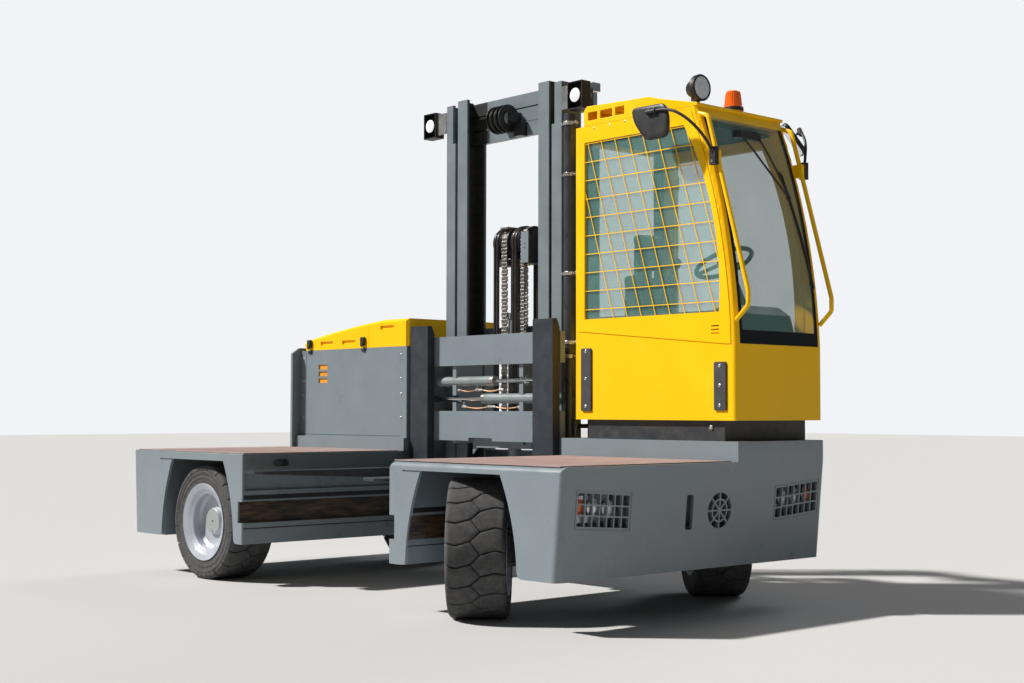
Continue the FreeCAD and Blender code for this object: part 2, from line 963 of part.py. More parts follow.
def front_hull():
    outline = [
        (bay_half, deck), (bay_half, s.sill_height), (front_end - s.front_lean, s.sill_height),
        (front_end, deck),
    ]
    deck_block = prism("front_block", "xz", outline, -half_width, half_width)
    dress(deck_block, "Fillet", s.edge_radius, upright(-FAR, bay_half.value + 1))
    dress(deck_block, "Fillet", s.corner_radius, upright(bay_half.value + 1, FAR))
    corner = s.corner_radius
    edge = s.edge_radius
    step_outline = [
        (bay_half, step_edge), (front_end, step_edge), (front_end, half_width - corner),
        (front_end - corner * CHORD, half_width - corner * CHORD, "through"),
        (front_end - corner, half_width), (bay_half + edge, half_width),
        (bay_half + edge * CHORD, half_width - edge * CHORD, "through"), (bay_half, half_width - edge),
    ]
    block = fuse("front_blocks", deck_block, prism("front_step", "xy", step_outline, deck, step_top))
    well = (pin_x - sweep, pin_x + sweep)
    tools = [
        *arch("front_arch", pin_x - s.arch_shift),
        box("front_well", well, (-half_width + s.plate, half_width - s.plate), (-FAR, arch_top)),
    ]
    tools += bay_recesses("front_bay", 1)
    for name, inset, side in LAMPS:
        outer, inner = lamp_ends(inset, side)
        tools.append(lamp_room(f"{name}_room", ordered(outer + s.plate * side, inner - s.plate * side)))
        tools += lamp_grille(name, inset, side)
    slot_y = (s.slot_y - s.slot_width / 2, s.slot_y + s.slot_width / 2)
    slot_z = (deck - s.grille_drop - s.slot_height / 2, deck - s.grille_drop + s.slot_height / 2)
    tools.append(lamp_room("fan_room", (slot_y[0] - s.plate, s.grille_y + s.grille_radius + s.plate)))
    tools.append(prism("air_slot", "yz", rounded_rectangle(slot_y, slot_z, s.slot_width / 4),
                       front_end - s.lamp_depth / 2, front_end + s.plate))
    tools.append(fan_grille())
    open_hull = cut("front_hull_form", block, *tools)
    centre = pin_y - s.tyre_radius - s.centre_room
    centre_box = box("front_centre_box", (well[0] - s.plate, well[1] + s.plate), (-centre, centre),
                     (belly, arch_top + s.plate / 4))
    part("front_hull", fuse("front_hull_joined", open_hull, centre_box))


LAMPS = (("near_lamp", s.near_lamp_inset, -1), ("far_lamp", s.far_lamp_inset, 1))
LAMPS_IN_A_ROW = 3


def headlamps():
    """Three round lamps on a bracket behind each lamp grille."""
    back = front_end - s.lamp_depth + SEAT
    face = front_end - lean_at(deck - s.lamp_drop - s.lamp_height) - s.plate * 2
    sets = []
    for name, inset, side in LAMPS:
        outer, inner = lamp_ends(inset, side)
        pieces = [box(f"{name}_bracket", (back, back + s.lamp_bar), ordered(outer, inner),
                      (deck - s.lamp_drop - s.lamp_height, deck - s.lamp_drop - s.lamp_slant))]
        for number in range(LAMPS_IN_A_ROW):
            y = outer - (s.lamp_bowl_radius + s.lamp_spacing * number) * side
            z = deck - s.lamp_drop - s.lamp_height * 0.44 - s.lamp_slant * number / LAMPS_IN_A_ROW
            pieces.append(cone(f"{name}_bowl_{number}", s.lamp_bowl_radius * 0.55, s.lamp_bowl_radius,
                               "x", back + s.lamp_bar / 2, face - s.lamp_bar, (y, z)))
            pieces.append(cylinder(f"{name}_lens_{number}", s.lamp_bowl_radius, "x",
                                   face - s.lamp_bar, face, (y, z)))
        sets.append(fuse(f"{name}_set", *pieces))
    part("headlamps", fuse("headlamps_form", *sets))


def chassis_parts():
    rear_hull()
    front_hull()
    headlamps()
    spine = box("spine_block", (-bay_half + SEAT, bay_half - SEAT),
                (half_width - s.beam_depth, half_width - s.plate), (s.sill_height, deck))
    part("back_beam", spine)
    board = (deck + SEAT, deck + s.board_thickness)
    margin = s.board_margin
    sheet = box("rear_board", (rear_end + margin, -bay_half - margin),
                (-half_width + margin, box_face - s.box_rail_proud), board)
    corner = box("guard_corner", (rear_end - s.tail_depth, box_rear + s.board_relief),
                 (box_face - s.guard_proud - s.board_relief, box_face), (deck, deck + s.step_rise))
    rear = cut("notched_board", sheet, corner)
    front = box("front_board", (bay_half + margin, front_end - margin * 2),
                (-half_width + margin, step_edge - s.board_gap), board)
    part("deck_boards", fuse("deck_boards_form", rear, front))


# ---- wheels and axles ----

def mirrored(points):
    """An outline's left half followed by its mirror image, closed over the middle."""
    back = [(-1 * as_size(p[0]), *p[1:]) for p in reversed(points)]
    return list(points) + back


def tyre_outline():
    """The tyre's section: bead, flange seat, stepped sidewall and rounded shoulder."""
    half = s.tyre_width / 2
    edge = s.tyre_shoulder
    step = s.sidewall_step
    bead = s.rim_radius - s.rim_lip
    top = s.tyre_radius
    return mirrored([
        (-half + s.flange_width, bead), (-half + s.flange_width, s.rim_radius + 1),
        (-half + step, s.rim_radius + s.tyre_bead), (-half + step, top - edge * 2.4),
        (-half, top - edge * 2.2), (-half, top - edge),
        (-half + edge * CHORD, top - edge * CHORD, "through"), (-half + edge, top),
    ])


def rim_outline():
    """The rim and its disc, dished towards the outside, which is +Y."""
    half = s.tyre_width / 2
    face = half - s.dish_depth
    back = face - s.disc_thickness
    seat = s.rim_radius - s.rim_lip - SEAT
    well = s.rim_radius - s.rim_step
    dish = well - s.rim_step
    flange = s.flange_width - SEAT
    return [
        (face + s.hub_height, 0), (face + s.hub_height, s.hub_radius),
        (face, s.hub_radius + s.rim_lip), (face, dish - s.rim_step / 2), (face + s.rim_step / 2, dish),
        (half - s.rim_step, dish), (half - s.rim_step * 0.6, well - s.rim_lip),
        (half - s.rim_lip * 2, well), (half - s.rim_lip, seat - s.rim_lip),
        (half, s.rim_radius), (half - flange, s.rim_radius), (half - flange, seat),
        (-half + flange, seat), (-half + flange, s.rim_radius), (-half, s.rim_radius),
        (-half + s.rim_lip, seat - s.rim_lip), (-half + s.rim_step, well),
        (back - s.rim_step / 2, well), (back, well - s.rim_step), (back, 0),
    ]


def wheel(name, x, y, turn):
    """A tyre and its rim, turned about Z so that the rim's dish faces outwards."""
    for kind, outline in (("tyre", tyre_outline()), ("rim", rim_outline())):
        item = turned(f"{name}_{kind}_body", outline)
        turn_about_z(item, turn)
        move_to(item, x, y, s.tyre_radius)
        part(f"{name}_{kind}", item)


def disc_back():
    """From a wheel's middle plane out to the back of its disc."""
    return s.tyre_width / 2 - s.dish_depth - s.disc_thickness


def rear_drives():
    """The drive units, bolted to the wells' inner walls and ending at the rims' discs."""
    centre = (rear_wheel_x, s.tyre_radius)
    units = []
    for side, name in ((-1, "near"), (1, "far")):
        wall = well_wall + SEAT
        end = rear_wheel_y + disc_back() - SEAT
        case = cylinder(f"{name}_drive_case", s.drive_case_radius, "y",
                        *ordered(wall * side, (end - s.drive_neck) * side), centre)
        neck = cylinder(f"{name}_drive_neck", s.hub_radius, "y", *ordered(wall * side, end * side), centre)
        flange = cylinder(f"{name}_drive_flange", s.drive_flange_radius, "y",
                          *ordered(wall * side, (wall + s.drive_flange) * side), centre)
        units.append(fuse(f"{name}_drive", case, neck, flange))
    part("rear_drives", fuse("rear_drives_form", *units))


def knuckle(name, side, turn):
    """The steering knuckle: an upright block bored for the king pin, and a stub to the rim."""
    half_height = s.knuckle_height / 2
    reach = s.steer_offset + disc_back() - SEAT
    block = cylinder(f"{name}_block", s.knuckle_radius, "z", -half_height, half_height, (0, 0))
    stub = cylinder(f"{name}_stub", s.stub_radius, "y", 0, reach, (0, 0))
    drum = cylinder(f"{name}_drum", s.drum_radius, "y", reach - s.drum_width, reach, (0, 0))
    arm = box(f"{name}_arm", (-s.steer_arm, 0), (-s.pin_radius, s.pin_radius),
              (-half_height, -half_height + s.ear_thickness))
    eye = cylinder(f"{name}_arm_eye", s.pin_radius, "z", -half_height, -half_height + s.ear_thickness,
                   (-s.steer_arm, 0))
    bore = cylinder(f"{name}_bore", s.pin_radius + 0.5, "z", -s.knuckle_height, s.knuckle_height, (0, 0))
    form = cut(f"{name}_form", fuse(f"{name}_solid", block, stub, drum, arm, eye), bore)
    turn_about_z(form, turn)
    move_to(form, pin_x, pin_y * side, s.tyre_radius)
    part(name, form)


def front_axle():
    """The steering axle: a box beam, hung under the centre box, with a fork at each end."""
    half = s.axle_width / 2
    low = s.tyre_radius - s.knuckle_height / 2 - s.pin_slack
    high = s.tyre_radius + s.knuckle_height / 2 + s.pin_slack
    x = (pin_x - half, pin_x + half)
    ear = s.ear_thickness
    root = pin_y - s.ear_reach
    pieces = [
        box("axle_beam", x, (-root, root),
            (s.tyre_radius - s.axle_height / 2, s.tyre_radius + s.axle_height / 2)),
        box("axle_hanger", (x[0] - ear, x[1] + ear), (-s.hanger_half, s.hanger_half),
            (s.tyre_radius, belly - SEAT)),
    ]
    for side, name in ((-1, "near"), (1, "far")):
        reach = ordered(root * side, pin_y * side)
        for level, z in (("low", (low - ear, low)), ("top", (high, high + ear))):
            pieces.append(box(f"axle_{name}_{level}_ear", x, reach, z))
            pieces.append(cylinder(f"axle_{name}_{level}_eye", half, "z", *z, (pin_x, pin_y * side)))
        pieces.append(box(f"axle_{name}_wall", x, ordered(root * side, (root + ear) * side),
                          (low - ear, high + ear)))
        pieces.append(cylinder(f"axle_{name}_pin", s.pin_radius, "z", low - ear * 1.4, high + ear * 1.4,
                               (pin_x, pin_y * side)))
    part("front_axle", fuse("front_axle_form", *pieces))


def running_gear():
    wheel("rear_near", rear_wheel_x, -rear_wheel_y, as_size(180))
    wheel("rear_far", rear_wheel_x, rear_wheel_y, as_size(0))
    near = s.near_steer
    far = s.far_steer
    wheel("front_near", pin_x - s.steer_offset * sine(near), -pin_y - s.steer_offset * cosine(near),
          180 - near)
    wheel("front_far", pin_x + s.steer_offset * sine(far), pin_y + s.steer_offset * cosine(far), -far)
    rear_drives()
    knuckle("near_knuckle", -1, 180 - near)
    knuckle("far_knuckle", 1, -far)
    front_axle()


# ---- reach carriage, mast and forks ----

SIDES = ((-1, "rear"), (1, "front"))


def reach_carriage():
    """The frame that carries the mast on rollers in the bay's channels."""
    y_low = mast_front - s.reach_front
    y_high = half_width - s.reach_back_gap
    roller = (channel_high - channel_low) / 2 - s.roller_gap
    level = channel_low + roller + SEAT
    foot = (mast_foot, mast_foot + s.foot_thickness)
    pieces = [
        box("reach_beam", (-reach_side, reach_side), (y_high - s.reach_beam_depth, y_high),
            (mast_foot, channel_high)),
        box("reach_foot", (-reach_side, reach_side), (mast_front, y_high - s.reach_plate), foot),
    ]
    for sign, name in SIDES:
        inside = (reach_side - s.reach_plate) * sign
        outline = [
            (y_low, mast_foot + s.foot_cut), (y_low + s.foot_cut, mast_foot), (y_high, mast_foot),
            (y_high, web_low), (y_low + s.foot_cut, web_low), (y_low, web_low - s.foot_cut),
        ]
        pieces.append(prism(f"reach_{name}_plate", "yz", outline, *ordered(reach_side * sign, inside)))
        face = (bay_half - s.roller_gap) * sign
        outer = (bay_half - s.roller_gap + s.roller_width) * sign
        for number, y in enumerate((y_low + s.roller_inset, y_high - s.roller_inset)):
            pieces.append(cylinder(f"reach_{name}_axle_{number}", s.roller_axle, "x",
                                   *ordered(outer, inside), (y, level)))
            pieces.append(cylinder(f"reach_{name}_roller_{number}", roller, "x",
                                   *ordered(outer, face), (y, level)))
    part("reach_frame", fuse("reach_frame_form", *pieces))


def channel_rail(name, outer, width, side, z):
    """An upright rail at outer, a C that opens towards the middle of the mast."""
    x = ordered(outer * side, (outer - width) * side)
    hollow = ordered((outer - s.rail_web) * side, (outer - width * 1.1) * side)
    block = box(f"{name}_bar", x, (mast_front, mast_back), z)
    space = box(f"{name}_space", hollow, (mast_front + s.rail_flange, mast_back - s.rail_flange),
                (z[0] - s.plate, z[1] + s.plate))
    return cut(name, block, space)


def outer_mast():
    """The outer rails, their front flanges narrowed at the top, and the ties behind them."""
    z = (mast_foot + s.foot_thickness + SEAT, mast_top)
    inner = outer_out - s.outer_rail_width
    rails = []
    for side, name in SIDES:
        rail = channel_rail(f"{name}_outer_rail", outer_out, s.outer_rail_width, side, z)
        notch = box(f"{name}_rail_notch", ordered((inner - 1) * side, (inner + s.rail_notch) * side),
                    (mast_front - 1, mast_front + s.rail_flange + 1),
                    (mast_top - s.rail_notch_height, mast_top + 1))
        rails.append(cut(f"{name}_outer_rail_notched", rail, notch))
    part("outer_mast", fuse("outer_mast_form", *rails))
    ties = []
    levels = (mast_foot + s.low_tie, mast_top - s.middle_tie, mast_top - s.top_tie)
    for number, low in enumerate(levels):
        level = (low, low + s.tie_height)
        ties.append(box(f"outer_tie_{number}", (-outer_out, outer_out),
                        (mast_back + s.clearance, mast_back + s.clearance + s.tie_thickness), level))
        for side, name in SIDES:
            ties.append(box(f"{name}_tie_pad_{number}", ordered(outer_out * side, inner * side),
                            (mast_back + SEAT, mast_back + s.clearance + 1), level))
    part("outer_ties", fuse("outer_ties_form", *ties))


def lift_cylinders():
    """The two bored lift cylinders, standing on the reach frame behind the outer rails."""
    barrels = []
    foot = web_low + SEAT
    for side, name in SIDES:
        centre = (cylinder_x * side, cylinder_y)
        barrel = cylinder(f"{name}_barrel_tube", s.cylinder_radius, "z", foot, barrel_top, centre)
        gland = cylinder(f"{name}_barrel_gland", s.cylinder_radius + s.rod_slack, "z",
                         barrel_top - s.gland_height, barrel_top, centre)
        bore = cylinder(f"{name}_barrel_bore", s.lift_rod_radius + s.rod_slack, "z",
                        foot + s.plate * 2, FAR, centre)
        clamps = []
        for number in range(CLAMPS):
            z = foot + (barrel_top - foot) * (number + 0.5) / CLAMPS
            reach = ordered(cylinder_x * side, (outer_out + SEAT) * side)
            clamps.append(box(f"{name}_clamp_{number}", reach, (mast_back - s.clamp, cylinder_y),
                              (z, z + s.clamp)))
        solid = fuse(f"{name}_barrel_form", barrel, gland, *clamps)
        barrels.append(cut(f"{name}_barrel_bored", solid, bore))
    part("lift_cylinders", fuse("lift_cylinders_form", *barrels))


CLAMPS = 3


def lift_rods():
    """The lift cylinders' rods, each with the arm that carries the inner mast from behind."""
    rods = []
    top = mast_top + s.inner_lift
    for side, name in SIDES:
        centre = (cylinder_x * side, cylinder_y)
        rods.append(cylinder(f"{name}_rod_bar", s.lift_rod_radius, "z", web_low + s.plate * 4,
                             top - s.plate, centre))
        reach = ordered((cylinder_x + s.cylinder_radius) * side, (inner_out - s.inner_rail_width) * side)
        rods.append(box(f"{name}_rod_arm", reach,
                        (mast_back + s.clearance, cylinder_y + s.lift_rod_radius),
                        (top - s.plate - s.arm_height, top - s.plate)))
        pad = ordered(inner_out * side, (inner_out - s.inner_rail_width) * side)
        rods.append(box(f"{name}_rod_pad", pad,
                        (head_face + s.head_thickness + SEAT, mast_back + s.clearance + 1),
                        (top - s.plate - s.arm_height, top - s.plate)))
    part("lift_rods", fuse("lift_rods_form", *rods))


def mast_rollers(name, face, end, heights):
    """Rollers on both sides, running between a rail's flanges and resting on the rear one."""
    radius = s.mast_depth / 2 - s.rail_flange - s.roller_slack
    y = mast_back - s.rail_flange - radius - SEAT
    rollers = []
    for side, place in SIDES:
        for number, z in enumerate(heights):
            rollers.append(cylinder(f"{name}_{place}_{number}", radius, "x",
                                    *ordered(face * side, end * side), (y, z)))
    return rollers


def hose_sheaves():
    """The pack of hose sheaves in front of the inner mast's head, with its two brackets."""
    centre = (mast_front + s.head_sheave_ahead, mast_top - s.head_sheave_drop)
    width = s.head_sheave_width
    pitch = width + s.clearance
    start = s.head_sheave_x - pitch * HOSE_SHEAVES / 2
    end = start + pitch * HOSE_SHEAVES
    radius = s.head_sheave_radius
    pieces = [
        cylinder("hose_axle", s.roller_axle * 0.8, "x", start - s.plate, end + s.plate * 1.5, centre),
        cylinder("hose_axle_nut", s.roller_axle * 1.2, "x", end + s.plate * 0.8, end + s.plate * 1.5,
                 centre),
    ]
    for number in range(HOSE_SHEAVES):
        low = start + pitch * number + s.clearance
        pieces.append(cylinder(f"hose_sheave_core_{number}", radius - s.sheave_lip, "x",
                               low, low + width, centre))
        for edge, x in (("low", low), ("high", low + width - s.sheave_flange)):
            pieces.append(cylinder(f"hose_sheave_{edge}_{number}", radius, "x", x, x + s.sheave_flange,
                                   centre))
    for edge, x in (("low", start - s.plate * 0.7), ("high", end + s.clearance)):
        pieces.append(box(f"hose_bracket_{edge}", (x, x + s.plate * 0.5),
                          (centre[0] - s.roller_axle, head_face + 1),
                          (centre[1] - s.roller_axle * 2, centre[1] + s.roller_axle * 2)))
    pieces.append(box("hose_block", (end, end + s.hose_block), (head_face - s.hose_block * 0.8, head_face + 1),
                      (centre[1] - s.hose_block * 1.6, centre[1] - s.roller_axle)))
    return pieces


HOSE_SHEAVES = 3


def inner_mast():
    """The inner rails with their rollers, the head beams, the hose sheaves and the low tie."""
    z = (mast_foot + s.inner_foot + s.foot_thickness, mast_top + s.inner_lift)
    rails = [channel_rail(f"{name}_inner_rail", inner_out, s.inner_rail_width, side, z)
             for side, name in SIDES]
    slope = [(mast_back - s.head_chamfer_depth, z[1] + 1), (mast_back + 1, z[1] + 1),
             (mast_back + 1, z[1] - s.head_chamfer_height)]
    chamfer = prism("head_chamfer", "yz", slope, -inner_out - 1, inner_out + 1)
    pieces = [cut("inner_rails", fuse("inner_rails_form", *rails), chamfer)]
    level = z[1] - s.head_drop
    for number in range(HEAD_BEAMS):
        low = level - s.head_beam
        pieces.append(box(f"head_beam_{number}", (-inner_out, inner_out),
                          (head_face, head_face + s.head_thickness), (low, level)))
        level = low - s.head_slit
    pieces.append(box("inner_tie", (-inner_out, inner_out),
                      (mast_back - s.rail_flange + s.clearance, mast_back - s.pin_slack), tie_level))
    pieces += mast_rollers("inner_roller", inner_out - 1, outer_out - s.rail_web - s.clearance,
                           (z[0] + s.roller_low, z[0] + s.roller_high))
    pieces += hose_sheaves()
    part("inner_mast", fuse("inner_mast_form", *pieces))


HEAD_BEAMS = 3


def fork_carriage():
    """Two crossbars between cheeks that run in the inner mast, and the skirt under them."""
    y = (bar_front, bar_front + s.bar_thickness)
    upper = box("upper_bar", (-carriage_half, carriage_half), y, (upper_bar, upper_bar_top))
    lower = box("lower_bar", (-carriage_half, carriage_half), y, (lower_bar, lower_bar_top))
    notch_x = (-s.bar_notch_width * 0.7, s.bar_notch_width * 0.3)
    notch = box("bar_notch", notch_x, (y[0] - 1, y[1] + 1), (lower_bar - 1, lower_bar + s.bar_notch_height))
    skirt_outline = [
        (notch_x[0], lower_bar + s.skirt_height), (notch_x[0], lower_bar - s.skirt_height * 2),
        (notch_x[0] + s.skirt_height, lower_bar - s.skirt_height),
        (s.skirt_end, lower_bar - s.skirt_height), (s.skirt_end, lower_bar + s.skirt_height),
    ]
    skirt = prism("bar_skirt", "xz", skirt_outline, y[1] - 1, y[1] + s.plate / 2)
    pieces = [upper, cut("lower_bar_notched", lower, notch), skirt]
    end = mast_back - s.cheek_back
    for side, name in SIDES:
        pieces.append(box(f"{name}_cheek", ordered(carriage_out * side, (carriage_out - s.cheek) * side),
                          (y[0] + s.plate, end), (lower_bar - s.plate, upper_bar_top)))
    pieces += mast_rollers("carriage_roller", carriage_out - 1, inner_out - s.rail_web - s.clearance,
                           (lower_bar + s.carriage_roller, upper_bar_top - s.carriage_roller))
    bores = [cylinder(f"positioner_hole_{n}", s.barrel_radius + SEAT, "x", -FAR, FAR, (barrel_y, z))
             for n, z in enumerate((upper_barrel, lower_barrel))]
    part("fork_carriage", cut("fork_carriage_form", fuse("fork_carriage_solid", *pieces), *bores))


CHAIN_SHEAVES = (("middle", s.middle_chain_x, s.chain_width * 1.5), ("side", s.side_chain_x, s.chain_width))
HOSE_RUNS = (("rear", s.rear_hose_x), ("front", s.front_hose_x))


def free_lift():
    """The cylinder in the middle of the inner mast, and the sheaves and chains it raises."""
    x = s.free_lift_x
    centre = (x, free_lift_y)
    foot = tie_level[1] + SEAT
    tube = cylinder("free_barrel_tube", s.free_barrel_radius, "z", foot, free_barrel_top, centre)
    gland = cylinder("free_barrel_gland", s.free_barrel_radius + s.clearance, "z",
                     free_barrel_top - s.gland_height, free_barrel_top, centre)
    base = box("free_barrel_base", (x - s.base_half, x + s.base_half),
               (free_lift_y - s.base_half, mast_back - s.rail_flange + s.clearance - SEAT),
               (tie_level[0], foot))
    bore = cylinder("free_barrel_bore", s.free_rod_radius + s.rod_slack, "z", foot + s.plate * 2,
                    free_barrel_top - s.gland_height, centre)
    seal = cylinder("free_barrel_seal", s.free_rod_radius + SEAT, "z", foot + s.plate * 2, FAR, centre)
    solid = fuse("free_barrel_solid", tube, gland, base)
    part("free_lift_cylinder", cut("free_barrel_form", solid, bore, seal))
    radius = s.sheave_radius
    core = radius - s.sheave_lip
    block = (sheave_z - radius - s.head_block - s.clearance, sheave_z - radius - s.clearance)
    right = x + s.head_right
    left = x - s.head_left
    pieces = [
        cylinder("free_rod", s.free_rod_radius, "z", foot + s.rod_foot, block[0] + 1, centre),
        box("head_block", (left, right), (free_lift_y - s.base_half * 0.6, free_lift_y + s.base_half * 0.6),
            block),
        cylinder("head_axle", s.roller_axle, "x", left, right, (free_lift_y, sheave_z)),
        box("head_front_plate", (right - s.head_plate, right),
            (free_lift_y - radius - s.plate / 2, free_lift_y - radius), (block[0], sheave_z + s.plate * 3)),
    ]
    cheeks = (("left", left), ("middle", x + s.chain_width * 1.25), ("right", right - s.plate / 2))
    for name, low in cheeks:
        front = free_lift_y - (radius if name == "right" else s.base_half * 0.6)
        pieces.append(box(f"head_{name}_cheek", (low, low + s.plate / 2),
                          (front - 1, free_lift_y + s.base_half * 0.6), (block[0], sheave_z + s.plate * 2)))
    drums = [(f"{name}_chain", centre_x, width + s.sheave_flange * 2 + 2, core)
             for name, centre_x, width in CHAIN_SHEAVES]
    drums += [(f"{name}_hose", centre_x, s.hose_drum_width, core) for name, centre_x in HOSE_RUNS]
    for name, centre_x, width, inside in drums:
        low = x + centre_x - width / 2
        pieces.append(cylinder(f"{name}_sheave", inside, "x", low, low + width, (free_lift_y, sheave_z)))
        for edge, start in (("low", low), ("high", low + width - s.sheave_flange)):
            pieces.append(cylinder(f"{name}_sheave_{edge}", radius, "x", start, start + s.sheave_flange,
                                   (free_lift_y, sheave_z)))
    part("free_lift_head", fuse("free_lift_head_form", *pieces))
    chains = []
    inside = core + SEAT
    outside = inside + s.chain_thickness
    for name, centre_x, width in CHAIN_SHEAVES:
        reach = (x + centre_x - width / 2, x + centre_x + width / 2)
        ring = cylinder(f"{name}_chain_outer", outside, "x", *reach, (free_lift_y, sheave_z))
        hole = cylinder(f"{name}_chain_inner", inside, "x", *reach, (free_lift_y, sheave_z))
        below = box(f"{name}_chain_below", reach, (-FAR, FAR), (0, sheave_z))
        front = box(f"{name}_chain_front", reach, (free_lift_y - outside, free_lift_y - inside),
                    (lower_bar + s.chain_foot, sheave_z + 1))
        rear = box(f"{name}_chain_rear", reach, (free_lift_y + inside, free_lift_y + outside),
                   (free_barrel_top - s.chain_rear, sheave_z + 1))
        chains.append(fuse(f"{name}_chain", cut(f"{name}_chain_bend", ring, hole, below), front, rear))
    part("lift_chain", fuse("lift_chain_form", *chains))


def mast_lamps():
    """A work lamp in an open bracket outside each outer rail's top."""
    lamps = []
    wide = s.mast_lamp_width
    high = (mast_top - s.mast_lamp_drop - s.mast_lamp_height, mast_top - s.mast_lamp_drop)
    deep = (mast_front - s.plate, mast_front - s.plate + s.mast_lamp_depth)
    wall = s.clearance
    for (side, name), gap in zip(SIDES, (s.rear_lamp_gap, s.front_lamp_gap)):
        start = outer_out + gap
        x = ordered(start * side, (start + wide) * side)
        room = box(f"{name}_lamp_room", (x[0] + wall, x[1] - wall), (deep[0] - wall, deep[1] - wall),
                   (high[0] + wall, high[1] - wall))
        frame = cut(f"{name}_lamp_frame", box(f"{name}_lamp_box", x, deep, high), room)
        middle = ((x[0] + x[1]) / 2, (high[0] + high[1]) / 2)
        bowl = cone(f"{name}_lamp_bowl", s.mast_lens_radius, s.mast_lens_radius * 0.6, "y",
                    deep[0] + s.plate, deep[1] - 1, middle)
        lens = cylinder(f"{name}_lamp_lens", s.mast_lens_radius, "y", deep[0] + s.clearance,
                        deep[0] + s.plate, middle)
        arm = box(f"{name}_lamp_arm", ordered((outer_out + SEAT) * side, (start + wall + 1) * side),
                  (mast_front, mast_front + wall), (high[0] + s.plate, high[1] - s.plate))
        lamps.append(fuse(f"{name}_lamp", frame, bowl, lens, arm))
    part("mast_lamps", fuse("mast_lamps_form", *lamps))


def hose_tube():
    """The upright tube that carries the hoses up the front side of the mast."""
    centre = (tube_x, tube_y)
    tube = cylinder("hose_tube_pipe", s.tube_radius, "z", web_low + SEAT, mast_top - s.tube_drop, centre)
    pieces = [tube]
    for number, share in enumerate(TUBE_CLAMPS):
        z = web_low + (mast_top - web_low) * share
        pieces.append(cylinder(f"tube_band_{number}", s.tube_radius + s.sheave_flange, "z",
                               z, z + s.clamp, centre))
        pieces.append(box(f"tube_clamp_{number}", (outer_out + SEAT, tube_x + s.tube_radius + s.plate),
                          (tube_y - s.clamp / 2, tube_y + s.clamp / 2), (z, z + s.clamp)))
    part("hose_tube", fuse("hose_tube_form", *pieces))


TUBE_CLAMPS = (0.12, 0.32, 0.52, 0.76, 0.885)


def positioner_barrels():
    """The two barrels that spread the forks, each bored for its rod."""
    barrels = []
    for name, level, side in (("upper", upper_barrel, 1), ("lower", lower_barrel, -1)):
        closed = -s.barrel_out * side
        mouth = s.barrel_mouth * side
        centre = (barrel_y, level)
        barrel = cylinder(f"{name}_barrel", s.barrel_radius, "x", *ordered(closed, mouth), centre)
        bore = cylinder(f"{name}_bore", s.rod_radius + s.rod_slack, "x",
                        *ordered(closed + s.barrel_end * side, mouth + s.clearance * side), centre)
        barrels.append(cut(f"{name}_positioner_form", barrel, bore))
    part("positioner_barrels", fuse("positioner_barrels_form", *barrels))


def fork(name, side):
    """An L-shaped fork with a tapered blade, and the positioner rod that moves it."""
    back = bar_front - SEAT
    front = back - s.fork_thickness
    tip = front - s.blade_length
    heel = s.fork_heel
    top = upper_bar_top + s.fork_rise
    blade_top = fork_bottom + s.blade_thickness
    outline = [
        (back, top - heel), (back - s.fork_thickness * 0.4, top), (front, top),
        (front, blade_top + heel), (front - heel * CHORD, blade_top + heel * CHORD, "through"),
        (front - heel, blade_top), (tip, blade_top), (tip, blade_top - s.tip_thickness),
        (tip + s.blade_taper, fork_bottom), (back - heel, fork_bottom),
        (back - heel * CHORD, fork_bottom + heel * CHORD, "through"), (back, fork_bottom + heel),
    ]
    inner = fork_out - s.fork_width
    blade = prism(f"{name}_blade", "yz", outline, *ordered(fork_out * side, inner * side))
    at_tip = blade_top.value - s.tip_thickness.value / 2
    dress(blade, "Chamfer", s.tip_corner, lambda c: c.y < tip.value + 1 and abs(c.z - at_tip) < 1)
    level = upper_barrel if side > 0 else lower_barrel
    lug = box(f"{name}_lug", ordered((inner + s.lug_inset) * side, (inner + s.lug_inset * 3) * side),
              (back - 1, barrel_y + s.plate), (level - s.lug_half, level + s.lug_half))
    end = s.shift_stroke + s.clearance - s.barrel_out + s.barrel_end
    rod = cylinder(f"{name}_rod", s.rod_radius, "x",
                   *ordered(end * side, (inner + s.lug_inset * 2) * side), (barrel_y, level))
    part(name, fuse(f"{name}_form", blade, lug, rod))


def mast_parts():
    reach_carriage()
    outer_mast()
    lift_cylinders()
    lift_rods()
    hose_tube()
    inner_mast()
    free_lift()
    mast_lamps()
    fork_carriage()
    positioner_barrels()
    for side, name in SIDES:
        fork(f"{name}_fork", side)


# ---- battery box ----

LID_HINGES = (0.17, 0.75)
BOX_SLOTS = (0, 1, 2)
LID_SLOTS = ((0.199, 90), (0.409, 90), (0.764, 187))


def lid_line():
    """The line along X on which the lid's hinges turn, as its Y and Z."""
    return (box_back + s.pin_clear, box_top + SEAT)


